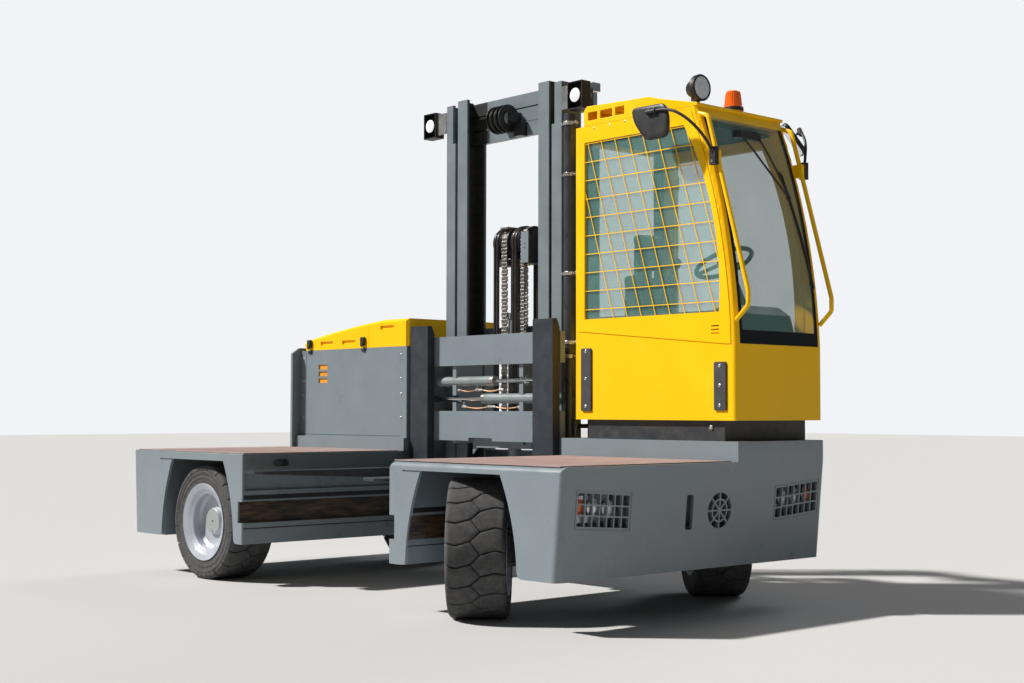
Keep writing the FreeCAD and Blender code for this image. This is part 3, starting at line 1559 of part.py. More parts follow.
def battery_box():
    """The open-topped box with its rear guard, its bottom rail and the pins of the lid's hinges."""
    wall = s.plate
    shell = box("box_block", (box_rear, box_front), (box_face, box_back), (box_low, box_top))
    room = box("box_room", (box_rear + wall, box_front - wall), (box_face + wall, box_back - wall),
               (box_low + s.box_floor, FAR))
    face = (box_face - 1, box_face + s.panel_proud)
    seam_x = box_rear + s.lid_rear_gap + wall
    seam_z = box_low + s.box_rail_height + wall / 2
    seams = [
        box("box_seam_upright", (seam_x, seam_x + s.seam), face, (seam_z, box_top - wall)),
        box("box_seam_level", (seam_x, box_front - s.guard_proud), face, (seam_z, seam_z + s.seam)),
    ]
    for number in BOX_SLOTS:
        high = box_top - s.box_slot_drop - s.box_slot_pitch * number
        x = box_rear + s.box_slot_place
        seams.append(box(f"box_slot_{number}", (x, x + s.box_slot_length), (box_face - 1, box_face + wall + 1),
                         (high - s.box_slot_height, high)))
    guard_face = box_face - s.guard_proud
    guard_top = box_top + s.guard_rise
    guard_low = deck + SEAT
    guard_outline = [
        (guard_face, guard_low), (box_back, guard_low), (box_back, guard_top),
        (guard_face + s.guard_slope, guard_top), (guard_face, guard_top - s.guard_chamfer),
    ]
    guard = prism("box_guard", "yz", guard_outline, box_rear - s.guard_thickness, box_rear + 1)
    rail = box("box_rail", (box_rear, -(carriage_half + s.clearance)),
               (box_face - s.box_rail_proud, box_face + 1), (box_low, box_low + s.box_rail_height))
    pieces = [cut("box_shell", shell, room, *seams), guard, rail]
    line = lid_line()
    for number, share in enumerate(LID_HINGES):
        low = box_rear + s.box_length * share
        lug = s.hinge_lug
        pieces.append(cylinder(f"lid_pin_{number}", s.lid_pin, "x", low - lug, low + s.hinge_height + lug,
                               line))
        high = low + s.hinge_height
        for end, x in enumerate(((low - lug, low - s.rod_slack), (high + s.rod_slack, high + lug))):
            pieces.append(box(f"lid_pin_seat_{number}_{end}", x, (box_back - 1, line[0] + s.lid_pin - 1),
                              (line[1] - s.lid_pin_seat, line[1] - SEAT * 2)))
    part("battery_box", fuse("battery_box_form", *pieces))
    gap = s.battery_gap
    part("battery", box("battery_block", (box_rear + wall + gap, box_front - wall - gap),
                        (box_face + wall + gap, box_back - wall - gap),
                        (box_low + s.box_floor + SEAT, box_top - s.battery_drop)))


def lid_outline(inset):
    """The lid's side: it rises from the rear in an arc, then runs level to the mast."""
    low = box_top + SEAT
    rear = box_rear + s.lid_rear_gap
    front = box_front + s.lid_front_gap
    floor = low - inset * 4
    return [
        (rear + s.lid_toe + inset, floor), (rear + inset, low + s.lid_toe * 1.8),
        (rear + s.lid_shoulder + inset, low + s.lid_rear_height - inset),
        (box_rear + s.box_length * LID_ARCH, low + s.lid_arch - inset, "through"),
        (box_rear + s.box_length * LID_CREST, low + s.lid_front_height - inset),
        (front - inset, low + s.lid_front_height - inset), (front - inset, floor),
    ]


LID_ARCH = 0.565
LID_CREST = 0.787


def hood_lid():
    """The lid: a shell with a bevel along its front edge, slots, a seam and two hinge knuckles."""
    wall = s.lid_wall
    skin = prism("lid_block", "xz", lid_outline(as_size(0)), box_face, box_back)
    rise = box_top.value + s.lid_rear_height.value + s.plate.value
    dress(skin, "Chamfer", s.lid_bevel, lambda c: c.y < box_face.value + 1 and c.z > rise)
    room = prism("lid_room", "xz", lid_outline(wall), box_face + s.lid_bevel + wall / 2, box_back - wall)
    cuts = [room]
    for number, (share, height) in enumerate(LID_SLOTS):
        x = box_rear + s.box_length * share
        z = box_top + SEAT + height - s.lid_slot_height * 1.8
        cuts.append(box(f"lid_slot_{number}", (x, x + s.lid_slot_length),
                        (box_face - 1, box_face + s.lid_bevel * 0.7), (z, z + s.lid_slot_height)))
    split = box_rear + s.box_length * LID_SPLIT
    cuts.append(box("lid_seam", (split, split + s.seam), (box_face - 1, box_face + s.panel_proud), (0, FAR)))
    low = box_top + SEAT
    line = lid_line()
    knuckles = []
    for number, share in enumerate(LID_HINGES):
        start = box_rear + s.box_length * share
        x = (start, start + s.hinge_height)
        barrel = cylinder(f"lid_barrel_{number}", s.lid_pin * 1.75, "x", *x, line)
        leaf = box(f"lid_leaf_{number}", x, (box_back - 1, line[0]), (low, low + s.lid_leaf))
        bore = cylinder(f"lid_bore_{number}", s.lid_pin + SEAT, "x", start - 1, x[1] + 1, line)
        form = fuse(f"lid_knuckle_form_{number}", barrel, leaf)
        knuckles.append(cut(f"lid_knuckle_{number}", form, bore))
    part("hood_lid", fuse("hood_lid_form", cut("lid_shell", skin, *cuts), *knuckles))


LID_SPLIT = 0.66


# ---- cab ----

def front_edge(inset, rear, low):
    """The cab from its side, drawn in by inset at the front and the top, from rear and low."""
    return [
        (rear, low), (cab_front - inset, low), (cab_front - inset, cab_waist),
        (cab_front - s.cab_bow - inset, cab_waist + (cab_top - cab_waist) * CAB_BEND, "through"),
        (cab_brow - inset, cab_top - inset), (rear, cab_top - inset),
    ]


CAB_BEND = 0.507


def window_outline(grow):
    """The near side window, whose front edge follows the windscreen pillar."""
    low = cab_waist + s.window_sill
    high = cab_top - s.window_head
    front = cab_front - s.window_front
    top = front - (low - high) * WINDOW_RAKE
    return [
        (cab_rear + s.window_rear - grow, low - grow), (front + grow, low - grow),
        (front - s.window_bow + grow, (low + high) / 2, "through"), (top + grow * 0.7, high + grow),
        (cab_rear + s.window_rear - grow, high + grow),
    ]


WINDOW_RAKE = -0.237


def door_outline(inset):
    """The door's outline, drawn in by inset."""
    rear = cab_rear + s.door_margin
    low = cab_floor + s.door_sill
    front = cab_front - s.door_front
    high = cab_top - s.door_head
    return [
        (rear + inset, low + inset), (front - inset, low + inset), (front - inset, cab_waist),
        (front - s.window_bow - inset, (cab_waist + high) / 2, "through"),
        (front - (high - cab_waist) * DOOR_RAKE - inset * 0.7, high - inset), (rear + inset, high - inset),
    ]


DOOR_RAKE = 0.206


def door_window(inset):
    """The opening for the door's pane, drawn in by inset."""
    rear = cab_rear + s.door_margin + s.door_frame
    low = cab_waist + s.door_frame
    front = cab_front - s.door_front - s.door_frame
    high = cab_top - s.door_head - s.door_frame
    return [
        (rear + inset, low + inset), (front - inset, low + inset),
        (front - s.window_bow - inset, (low + high) / 2, "through"),
        (front - (high - low) * DOOR_RAKE - inset * 0.7, high - inset), (rear + inset, high - inset),
    ]


def side_panel():
    """The panel round the near window, a little proud of the cab's side, with three louvres."""
    outline = [
        (cab_rear + s.cab_corner, cab_waist + s.panel_drop),
        (cab_front - s.pillar * 2, cab_waist), (cab_front - s.pillar, cab_waist),
        (cab_front - s.cab_bow - s.pillar * 0.9, cab_waist + (cab_top - cab_waist) * CAB_BEND, "through"),
        (cab_brow - s.pillar, cab_top - s.cab_corner), (cab_rear + s.cab_corner, cab_top - s.cab_corner),
    ]
    panel = prism("side_panel", "xz", outline, cab_side - s.panel_proud, cab_side + 1)
    louvres = []
    start = cab_front - s.window_front - s.louvre_length
    for number in range(3):
        z = cab_waist + s.louvre_rise + s.louvre_pitch * number
        louvres.append(box(f"louvre_{number}", (start, start + s.louvre_length),
                           (cab_side - s.panel_proud - 1, cab_side + s.panel_proud), (z, z + s.seam * 2)))
    return panel, louvres


def door_line():
    """Where the door's hinge pins stand, just outside its rear edge."""
    return (cab_rear + s.door_margin - s.hinge_set, half_width + s.hinge_pin + s.hinge_stand)


def hinge_levels():
    return (cab_floor + s.hinge_margin, cab_top - s.hinge_margin * 1.6)


def cab():
    """The cab's hollow body with its windows and door opening, and the step it stands on."""
    wall = s.cab_wall
    block = prism("cab_block", "xz", front_edge(as_size(0), cab_rear, cab_floor), cab_side, half_width)
    middle = (cab_side.value + half_width.value) / 2
    side = (half_width.value - cab_side.value) / 2 - 1
    dress(block, "Fillet", s.cab_corner, lambda c: c.x > cab_brow.value and abs(c.y - middle) > side)
    room = prism("cab_room", "xz", front_edge(wall, cab_rear + wall, cab_floor + wall),
                 cab_side + wall, half_width - wall)
    panel, louvres = side_panel()
    window = prism("cab_side_window", "xz", window_outline(0), cab_side - wall, cab_side + wall + 1)
    screen = box("cab_screen_hole", (cab_brow - wall * 2, FAR),
                 (cab_side + s.screen_side, half_width - s.screen_side), (cab_waist, cab_top - s.screen_head))
    rear_window = box("cab_rear_hole", (cab_rear - 1, cab_rear + wall + 1),
                      (cab_side + s.rear_window_inset, half_width - s.rear_window_inset), rear_window_level)
    hole = prism("cab_door_hole", "xz", door_outline(as_size(0)), half_width - wall - 1, half_width + wall)
    shell = cut("cab_body", fuse("cab_skin", block, panel), room, window, screen, rear_window, hole, *louvres)
    pieces = [shell]
    line = door_line()
    for number, z in enumerate(hinge_levels()):
        pieces.append(cylinder(f"hinge_pin_{number}", s.hinge_pin, "z", z - s.plate,
                               z + s.hinge_height + s.hinge_stand, line))
        pieces.append(box(f"hinge_seat_{number}", (line[0] - s.plate * 1.5, line[0] + s.hinge_pin * 1.5),
                          (half_width - 1, line[1] + s.hinge_pin * 1.5), (z - s.plate * 2, z - s.plate)))
    part("cab_shell", fuse("cab_shell_form", *pieces))
    inset = s.pedestal_inset
    part("cab_pedestal", box("pedestal", (cab_rear + inset * 1.2, cab_front - inset * 1.6),
                             (cab_side + s.cab_corner, half_width - s.cab_corner),
                             (step_top + SEAT, cab_floor - SEAT)))


rear_window_level = (cab_waist + s.window_sill, cab_top - s.window_head)


def door():
    """The far door: a framed leaf with two hinge barrels."""
    panel = cut("cab_door_leaf", prism("door_block", "xz", door_outline(s.door_gap),
                                       half_width - s.cab_wall, half_width),
                prism("door_window", "xz", door_window(as_size(0)), half_width - s.cab_wall - 1,
                      half_width + 1))
    line = door_line()
    pieces = [panel]
    for number, z in enumerate(hinge_levels()):
        level = (z - s.plate + SEAT, z + s.hinge_height)
        barrel = cylinder(f"hinge_barrel_{number}", s.hinge_pin * 2, "z", *level, line)
        leaf = box(f"hinge_leaf_{number}", (line[0], line[0] + s.hinge_height * 1.1),
                   (half_width - 1, half_width + s.hinge_pin), level)
        slot = box(f"hinge_slot_{number}", (0, line[0] + s.hinge_pin * 2),
                   (half_width - s.cab_wall, half_width + 1), (level[0] - 1, level[1] + 1))
        bore = cylinder(f"hinge_bore_{number}", s.hinge_pin + SEAT, "z", level[0] - 1, level[1] + 1, line)
        form = fuse(f"hinge_form_{number}", barrel, leaf)
        pieces.append(cut(f"hinge_{number}", form, bore, slot))
    part("cab_door", fuse("cab_door_form", *pieces))
    part("door_glass", prism("door_pane", "xz", door_window(s.seal), half_width - s.cab_wall / 2 - s.glass,
                             half_width - s.cab_wall / 2))


MESH_LEVELS = 10
MESH_UPRIGHTS = 11


def windows():
    """The near pane, and the mesh of slanted and level wires in front of it."""
    pane = (cab_side + s.mesh_wire * 2, cab_side + s.mesh_wire * 2 + s.glass)
    part("side_glass", prism("near_pane", "xz", window_outline(-s.seal), *pane))
    wires = []
    low = cab_waist + s.window_sill
    for number in range(MESH_LEVELS):
        z = low + s.mesh_pitch * (number + 0.5)
        wires.append(box(f"mesh_level_{number}", (cab_rear, cab_front), (cab_side + 1, cab_side + s.mesh_wire),
                         (z, z + s.mesh_wire)))
    for number in range(MESH_UPRIGHTS):
        half = s.mesh_wire / 2
        centre = (cab_rear + s.window_rear + s.mesh_pitch * (number + 0.5), cab_side + 1 + half,
                  low + s.mesh_height / 2)
        wires.append(turned_box(f"mesh_upright_{number}", (-half, half), (-half, half - 1),
                                (-s.mesh_height, s.mesh_height), "y", -MESH_LEAN, centre))
    edge = prism("mesh_edge", "xz", window_outline(-s.seal), cab_side - 1, cab_side + s.mesh_wire * 2)
    part("window_mesh", common("window_mesh_form", fuse("mesh_wires", *wires), edge))


MESH_LEAN = 17
ROOF_SLOTS = ((40, 84), (151, 110), (288, 80))


def roof_outline(inset):
    """The raised roof cap: level along the back, then sloping down to the visor."""
    low = cab_top + SEAT
    rear = cab_rear + s.roof_back
    front = cab_brow + s.visor
    return [
        (rear + inset, low - inset * 3), (rear + inset, low + s.roof_rise - s.roof_corner),
        (rear + s.roof_corner, low + s.roof_rise - inset),
        (front - s.roof_slope - s.roof_corner * 2, low + s.roof_rise - s.roof_fall - inset),
        (front - s.roof_slope, low + s.roof_rise - s.roof_fall * 2 - inset),
        (front - inset, low + s.roof_thickness - inset), (front - inset, low - inset * 3),
    ]


def roof():
    """The roof: a hollow cap with slots in its sides and leaning openings in its top."""
    wall = s.roof_wall
    cap = prism("roof_cap", "xz", roof_outline(as_size(0)), cab_side, half_width)
    inner = [
        (cab_rear + s.roof_back + wall, cab_top - 1), (cab_rear + s.roof_back + wall, cab_top + s.roof_room),
        (cab_brow + s.visor - s.roof_slope, cab_top + s.roof_room),
        (cab_brow + s.visor - s.roof_slope * 0.55, cab_top - 1),
    ]
    room = prism("roof_room", "xz", inner, cab_side + wall, half_width - wall)
    cuts = [room]
    low = cab_top + s.roof_slot_rise
    for number, (place, length) in enumerate(ROOF_SLOTS):
        x = cab_rear + s.roof_back + place
        cuts.append(box(f"roof_slot_{number}", (x, x + length), (cab_side - 1, FAR),
                        (low, low + s.roof_slot_height)))
    for number in range(ROOF_VENTS):
        x = cab_rear + s.roof_back + s.roof_vent_place + s.roof_vent_pitch * number
        y = (cab_side + s.roof_vent_inset, half_width - s.roof_vent_inset)
        vent = [(x, y[0]), (x + s.roof_vent_width, y[0]), (x + s.roof_vent_width + s.roof_vent_lean, y[1]),
                (x + s.roof_vent_lean, y[1])]
        cuts.append(prism(f"roof_vent_{number}", "xy", vent, cab_top + s.roof_room - 1,
                          cab_top + s.roof_rise * 2))
    part("cab_roof", cut("cab_roof_form", cap, *cuts))


ROOF_VENTS = 4


def screens():
    """The bowed windscreen and the flat rear pane."""
    inset = s.screen_set
    low = cab_floor
    outside = prism("screen_outside", "xz", front_edge(inset, cab_rear, low),
                    cab_side + s.screen_side + s.seal, half_width - s.screen_side - s.seal)
    inside = prism("screen_inside", "xz", front_edge(inset + s.glass, cab_rear, low), cab_side, half_width)
    window = box("screen_window", (cab_brow - s.cab_wall, FAR), (cab_side, half_width),
                 (cab_waist + s.seal, cab_top - s.screen_head - s.seal))
    part("windscreen", common("windscreen_form", cut("screen_sheet", outside, inside), window))
    edge = s.rear_window_inset + s.seal
    level = (rear_window_level[0] + s.seal, rear_window_level[1] - s.seal)
    part("rear_glass", box("rear_pane", (cab_rear + s.plate / 2, cab_rear + s.plate / 2 + s.glass),
                           (cab_side + edge, half_width - edge), level))


def seat():
    """The driver's seat: a sprung base with arm rest and joystick, and the pads on it."""
    floor = cab_floor + s.cab_wall + SEAT
    x = cab_front - s.seat_behind_nose
    y = half_width - s.seat_side
    half = s.seat_width / 2
    pan = floor + s.seat_height
    back = (x - half - s.plate, x - half + s.plate * 0.5)
    base = [
        box("seat_foot", (x - half * 0.8, x + half * 0.8), (y - half * 0.7, y + half * 0.7),
            (floor, floor + s.plate * 2)),
        box("seat_bellows", (x - half * 0.65, x + half * 0.65), (y - half * 0.6, y + half * 0.6),
            (floor + s.plate, pan - s.plate)),
        box("seat_pan", (back[0], x + half * 0.9), (y - half * 0.9, y + half * 0.9), (pan - s.plate, pan)),
        box("seat_spine", back, (y - half * 0.3, y + half * 0.3), (pan - 1, pan + s.seat_back)),
        box("arm_rest", (x - half, x + half * 0.6), (y - half - s.arm_room, y - half - s.plate),
            (pan + half * 0.8, pan + half * 0.8 + s.plate * 3)),
        box("arm_post", back, (y - half - s.arm_room, y), (pan + half * 0.9, pan + half * 0.9 + s.plate * 2)),
        cylinder("joystick", s.bar_tube, "z", pan + half, pan + half + s.joystick,
                 (x + half * 0.4, y - half - s.arm_room / 2)),
    ]
    part("seat_base", fuse("seat_base_form", *base))
    pads = [
        box("seat_cushion_pad", (x - half * 0.8, x + half), (y - half, y + half),
            (pan + SEAT, pan + s.cushion)),
        box("seat_back_pad", (back[1] + SEAT, back[1] + s.cushion * 0.9), (y - half * 0.96, y + half * 0.96),
            (pan + s.cushion * 1.15, pan + s.seat_back * 0.82)),
        box("head_rest_pad", (back[1] + SEAT, back[1] + s.cushion * 0.7), (y - half * 0.55, y + half * 0.55),
            (pan + s.seat_back * 0.86, pan + s.seat_back + s.cushion)),
    ]
    part("seat_pads", fuse("seat_pads_form", *pads))


def console():
    """The desk under the windscreen, with the column that carries the steering wheel."""
    floor = cab_floor + s.cab_wall + SEAT
    y = half_width - s.seat_side
    nose = cab_front - s.cab_wall - s.desk_gap
    desk_top = cab_waist + s.desk_rise
    outline = [
        (nose - s.desk_foot, floor), (nose, floor), (nose, cab_waist),
        (nose - s.desk_foot * 0.4, desk_top - s.plate * 3), (nose - s.desk_foot, desk_top),
        (nose - s.desk_foot * 1.7, desk_top - s.plate * 1.5),
        (nose - s.desk_foot * 1.4, cab_waist),
    ]
    desk = prism("desk", "xz", outline, y - s.desk_half, y + s.desk_half)
    turn = Rotation(AXES["y"], -WHEEL_TILT)
    axis = turn.multVec(AXES["z"])
    hub = (nose - s.wheel_back, y, desk_top + s.wheel_rise)
    foot = tuple(spot - step * s.column_length for spot, step in zip(hub, axis))
    column = turned_box("column", (-s.column, s.column), (-s.column, s.column),
                        (0, s.column_length - s.wheel_grip - SEAT), "y", -WHEEL_TILT, foot)
    part("console", fuse("console_form", desk, column))
    pieces = [torus("wheel_ring", s.wheel_radius, s.wheel_grip, hub, turn)]
    for number in range(3):
        spoke = document.addObject("Part::Box", f"wheel_spoke_{number}")
        bind(spoke, "Length", s.wheel_radius)
        bind(spoke, "Width", s.column)
        bind(spoke, "Height", s.wheel_grip)
        swing = turn * Rotation(AXES["z"], 90 + 120 * number)
        spoke.Placement = Placement(Vector(), swing)
        reach = swing.multVec(AXES["y"])
        lift = swing.multVec(AXES["z"])
        move_to(spoke, *(spot - s.column * across / 2 - s.wheel_grip * up / 2
                         for spot, across, up in zip(hub, reach, lift)))
        pieces.append(spoke)
    pieces.append(turned_box("wheel_boss", (-s.column, s.column), (-s.column, s.column),
                             (-s.wheel_grip, s.plate), "y", -WHEEL_TILT, hub))
    part("steering_wheel", fuse("steering_wheel_form", *pieces))


WHEEL_TILT = 26


def grab_bars():
    """The two bent bars ahead of the windscreen pillars, held by flat brackets."""
    bars = []
    for name, y in (("near", cab_side + s.bar_tube), ("far", half_width - s.bar_tube)):
        top = cab_top - s.bar_top_drop
        ahead = cab_front + s.bar_reach
        low = cab_waist + s.bar_low
        route = [
            (cab_brow - s.plate, y, top), (cab_brow + s.bar_reach, y, top - s.bar_top_drop),
            (ahead, y, low), (ahead, y, low - s.bar_reach), (cab_front - s.clearance, y, low - s.bar_reach * 2),
        ]
        bars.append(bent_tube(f"{name}_bar", route, s.bar_tube, s.bar_bend))
        start = cab_front - s.bar_bracket_back
        level = cab_top - s.bar_bracket_drop
        bars.append(box(f"{name}_bar_bracket", (start, start + s.bar_reach),
                        (y - s.bar_tube * 1.1, y + s.bar_tube * 1.1), (level, level + s.bar_reach)))
    skin = prism("cab_skin_form", "xz", front_edge(-s.seal, cab_rear, cab_floor), cab_side - FAR,
                 half_width + FAR)
    part("grab_bars", cut("grab_bars_form", fuse("grab_bars_solid", *bars), skin))


def mirror_outline(across, up, length, height):
    """A mirror's head about its centre: narrower at the top, with bevelled upper corners."""
    half = length / 2
    low = up - height / 2
    high = up + height / 2
    bevel = height / 8
    return [
        (across - half, low), (across + half, low), (across + half - bevel / 2, high - bevel),
        (across + half - bevel * 1.5, high), (across - half + bevel * 1.5, high),
        (across - half + bevel / 2, high - bevel),
    ]


def mirrors():
    """The mirrors on bent arms, one on each side of the cab."""
    level = cab_top - s.mirror_drop
    foot_x = cab_front - s.mirror_foot
    foot_z = level - s.mirror_rise
    foot = (foot_z - s.plate * 2, foot_z + s.plate * 2)
    x = (foot_x - s.plate, foot_x + s.plate)
    near_y = cab_side - s.mirror_stand
    far_y = half_width + s.mirror_stand
    arm_top = level + s.mirror_height / 3
    step = s.mirror_reach / 4
    route = [
        (foot_x, cab_side - s.plate, foot_z), (foot_x - step, near_y + step, level + s.plate),
        (foot_x - step * 2.3, near_y, arm_top), (foot_x - s.mirror_reach, near_y, arm_top),
    ]
    far_route = [
        (foot_x, half_width + s.plate, foot_z), (foot_x - step / 3, far_y - step / 3, level - step * 0.7),
        (foot_x - step * 1.5, far_y, level),
    ]
    near = mirror_outline(foot_x - s.mirror_reach, level, s.mirror_length, s.mirror_height)
    far = mirror_outline(far_y, level, s.mirror_height * 0.75, s.mirror_height)
    far_x = foot_x - step * 1.5
    pieces = [
        bent_tube("near_arm", route, s.mirror_arm, s.bar_bend),
        box("near_arm_foot", x, (cab_side - s.plate * 1.5, cab_side - s.bar_tube * 0.1 - SEAT), foot),
        prism("near_mirror_head", "xz", near, near_y - s.mirror_depth, near_y - s.mirror_arm),
        bent_tube("far_arm", far_route, s.mirror_arm, s.bar_bend),
        box("far_arm_foot", x, (half_width + s.bar_tube * 0.1 + SEAT, half_width + s.plate * 1.5), foot),
        prism("far_mirror_head", "yz", far, far_x - s.mirror_depth, far_x),
    ]
    near_link = cylinder("near_mirror_link", s.mirror_arm, "y", near_y - s.mirror_arm * 2, near_y,
                         (foot_x - s.mirror_reach, arm_top))
    part("mirrors", fuse("mirrors_form", near_link, *pieces))


def roof_lights():
    """The work lamp over the near pillar and the tapered beacon in the middle of the roof."""
    low = cab_top + s.roof_thickness
    x = cab_brow - s.lamp_back
    y = cab_side + s.work_lamp_inset
    radius = s.work_lamp_radius
    centre = (y, low + radius + s.visor_rise)
    lamp = [
        box("lamp_foot", (x - s.plate, x + s.plate), (y - s.plate, y + s.plate), (low, low + radius)),
        cylinder("lamp_ring", radius, "x", x + s.plate, x + s.plate * 2.4, centre),
        cone("lamp_bowl", radius * 0.55, radius * 0.94, "x", x - s.plate * 2, x + s.plate + 1, centre),
    ]
    skin = prism("lamp_seat", "xz", roof_outline(-s.seal), cab_side, half_width)
    part("work_lamp", cut("work_lamp_form", fuse("work_lamp_solid", *lamp), skin))
    spot = (x, (cab_side + half_width) / 2)
    base_top = low + s.visor_rise + s.plate
    light = [
        cylinder("beacon_base", s.beacon_radius, "z", low, base_top, spot),
        cone("beacon_dome", s.beacon_radius * 0.92, s.beacon_radius * 0.7, "z", base_top - 1,
             low + s.beacon_height, spot),
    ]
    under = prism("beacon_seat", "xz", roof_outline(-s.seal), cab_side, half_width)
    part("beacon", cut("beacon_form", fuse("beacon_solid", *light), under))


def cab_parts():
    cab()
    door()
    windows()
    screens()
    roof()
    seat()
    console()
    grab_bars()
    mirrors()
    roof_lights()


def check_and_write():
    """Stops if anything failed to build, then writes one STEP file for each sub-part."""
    document.recompute()
    for item in document.Objects:
        if "Invalid" in item.State or "Error" in item.State:
            raise RuntimeError(f"{item.Name} did not build: {item.State}")
    os.makedirs("parts", exist_ok=True)
    for item in subparts:
        shape = item.Shape
        if shape.isNull() or not shape.isValid() or not shape.Solids:
            raise RuntimeError(f"{item.Label} has no valid solid")
    for item in subparts:
        item.Shape.exportStep(f"parts/{item.Label}.step")
    print(f"{len(subparts)} sub-parts written")


chassis_parts()
running_gear()
mast_parts()
battery_box()
hood_lid()
cab_parts()
check_and_write()
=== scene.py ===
"""Looks of the electric sideloader: paint, rubber, glass, tread, bolts, hoses and trim."""
import json
import math

import bmesh
import bpy
from mathutils import Matrix, Vector


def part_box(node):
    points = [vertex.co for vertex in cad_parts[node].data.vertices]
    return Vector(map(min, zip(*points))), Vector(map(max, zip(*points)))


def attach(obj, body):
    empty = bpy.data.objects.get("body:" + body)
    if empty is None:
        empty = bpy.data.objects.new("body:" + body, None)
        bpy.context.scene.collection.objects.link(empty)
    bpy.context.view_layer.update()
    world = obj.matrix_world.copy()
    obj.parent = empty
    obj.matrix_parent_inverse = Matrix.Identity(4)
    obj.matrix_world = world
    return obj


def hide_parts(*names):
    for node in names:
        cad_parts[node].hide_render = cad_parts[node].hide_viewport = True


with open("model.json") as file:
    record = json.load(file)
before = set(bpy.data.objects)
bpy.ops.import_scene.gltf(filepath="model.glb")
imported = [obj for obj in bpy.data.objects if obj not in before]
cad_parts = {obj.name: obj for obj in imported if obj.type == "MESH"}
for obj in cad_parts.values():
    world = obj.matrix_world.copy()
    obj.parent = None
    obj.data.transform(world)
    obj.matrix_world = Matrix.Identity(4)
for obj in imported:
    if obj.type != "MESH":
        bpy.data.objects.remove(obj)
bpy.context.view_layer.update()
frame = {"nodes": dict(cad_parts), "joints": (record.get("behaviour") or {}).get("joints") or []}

NODES = frame["nodes"]


# ---- camera, floor and light ----

CAMERA_PLACE = (8.1121, -6.7407, 1.2041)
AZIMUTH, RISE, ROLL = 47.923, -2.587, 0.12
LENS = 53.386
AMBIENT, BACKDROP = 0.12, 0.93
FLOOR_GREY, FLOOR_SIZE = 0.50, 60


def placed(name, data):
    """A new object in the scene."""
    item = bpy.data.objects.new(name, data)
    bpy.context.scene.collection.objects.link(item)
    return item


def camera():
    data = bpy.data.cameras.new("camera")
    data.sensor_width = 36
    data.lens = LENS
    data.clip_end = 200
    item = placed("camera", data)
    azimuth, rise = math.radians(AZIMUTH), math.radians(RISE)
    back = Vector((math.sin(azimuth) * math.cos(rise), -math.cos(azimuth) * math.cos(rise),
                   math.sin(rise)))
    item.location = CAMERA_PLACE
    item.rotation_mode = "QUATERNION"
    turn = (-back).to_track_quat("-Z", "Y")
    item.rotation_quaternion = turn @ Matrix.Rotation(math.radians(ROLL), 4, "Z").to_quaternion()
    bpy.context.scene.camera = item


def sun(name, source, power, spread, color):
    data = bpy.data.lights.new(name, "SUN")
    data.angle = math.radians(spread)
    data.energy = power
    data.color = color
    item = placed(name, data)
    item.location = source
    item.rotation_mode = "QUATERNION"
    item.rotation_quaternion = (-Vector(source)).to_track_quat("-Z", "Y")


def studio():
    world = bpy.data.worlds.new("world")
    bpy.context.scene.world = world
    world.use_nodes = True
    tree = world.node_tree
    back = tree.nodes["Background"]
    back.inputs["Color"].default_value = (0.95, 0.97, 1, 1)
    seen = tree.nodes.new("ShaderNodeLightPath").outputs["Is Camera Ray"]
    level = tree.nodes.new("ShaderNodeMapRange")
    level.inputs["To Min"].default_value = AMBIENT
    level.inputs["To Max"].default_value = BACKDROP
    tree.links.new(seen, level.inputs["Value"])
    tree.links.new(level.outputs[0], back.inputs["Strength"])
    sun("key", (-6.7, -7.4, 10), power=5.7, spread=3, color=(1, 0.97, 0.93))
    sun("back_fill", (-2, 9, 5), power=0.7, spread=25, color=(0.95, 0.97, 1))
    bm = bmesh.new()
    bmesh.ops.create_grid(bm, x_segments=1, y_segments=1, size=FLOOR_SIZE)
    mesh = bpy.data.meshes.new("floor")
    bm.to_mesh(mesh)
    bm.free()
    floor = placed("floor", mesh)
    mesh.materials.append(plain_floor())
    scene = bpy.context.scene
    scene.view_settings.view_transform = "Standard"
    scene.view_settings.look = "None"
    scene.view_settings.exposure = 0
    scene.view_settings.gamma = 1


def plain_floor():
    mat = bpy.data.materials.new("floor")
    mat.use_nodes = True
    shader = mat.node_tree.nodes["Principled BSDF"]
    shader.inputs["Base Color"].default_value = (FLOOR_GREY, FLOOR_GREY, FLOOR_GREY, 1)
    shader.inputs["Roughness"].default_value = 0.9
    return mat


# ---- materials ----

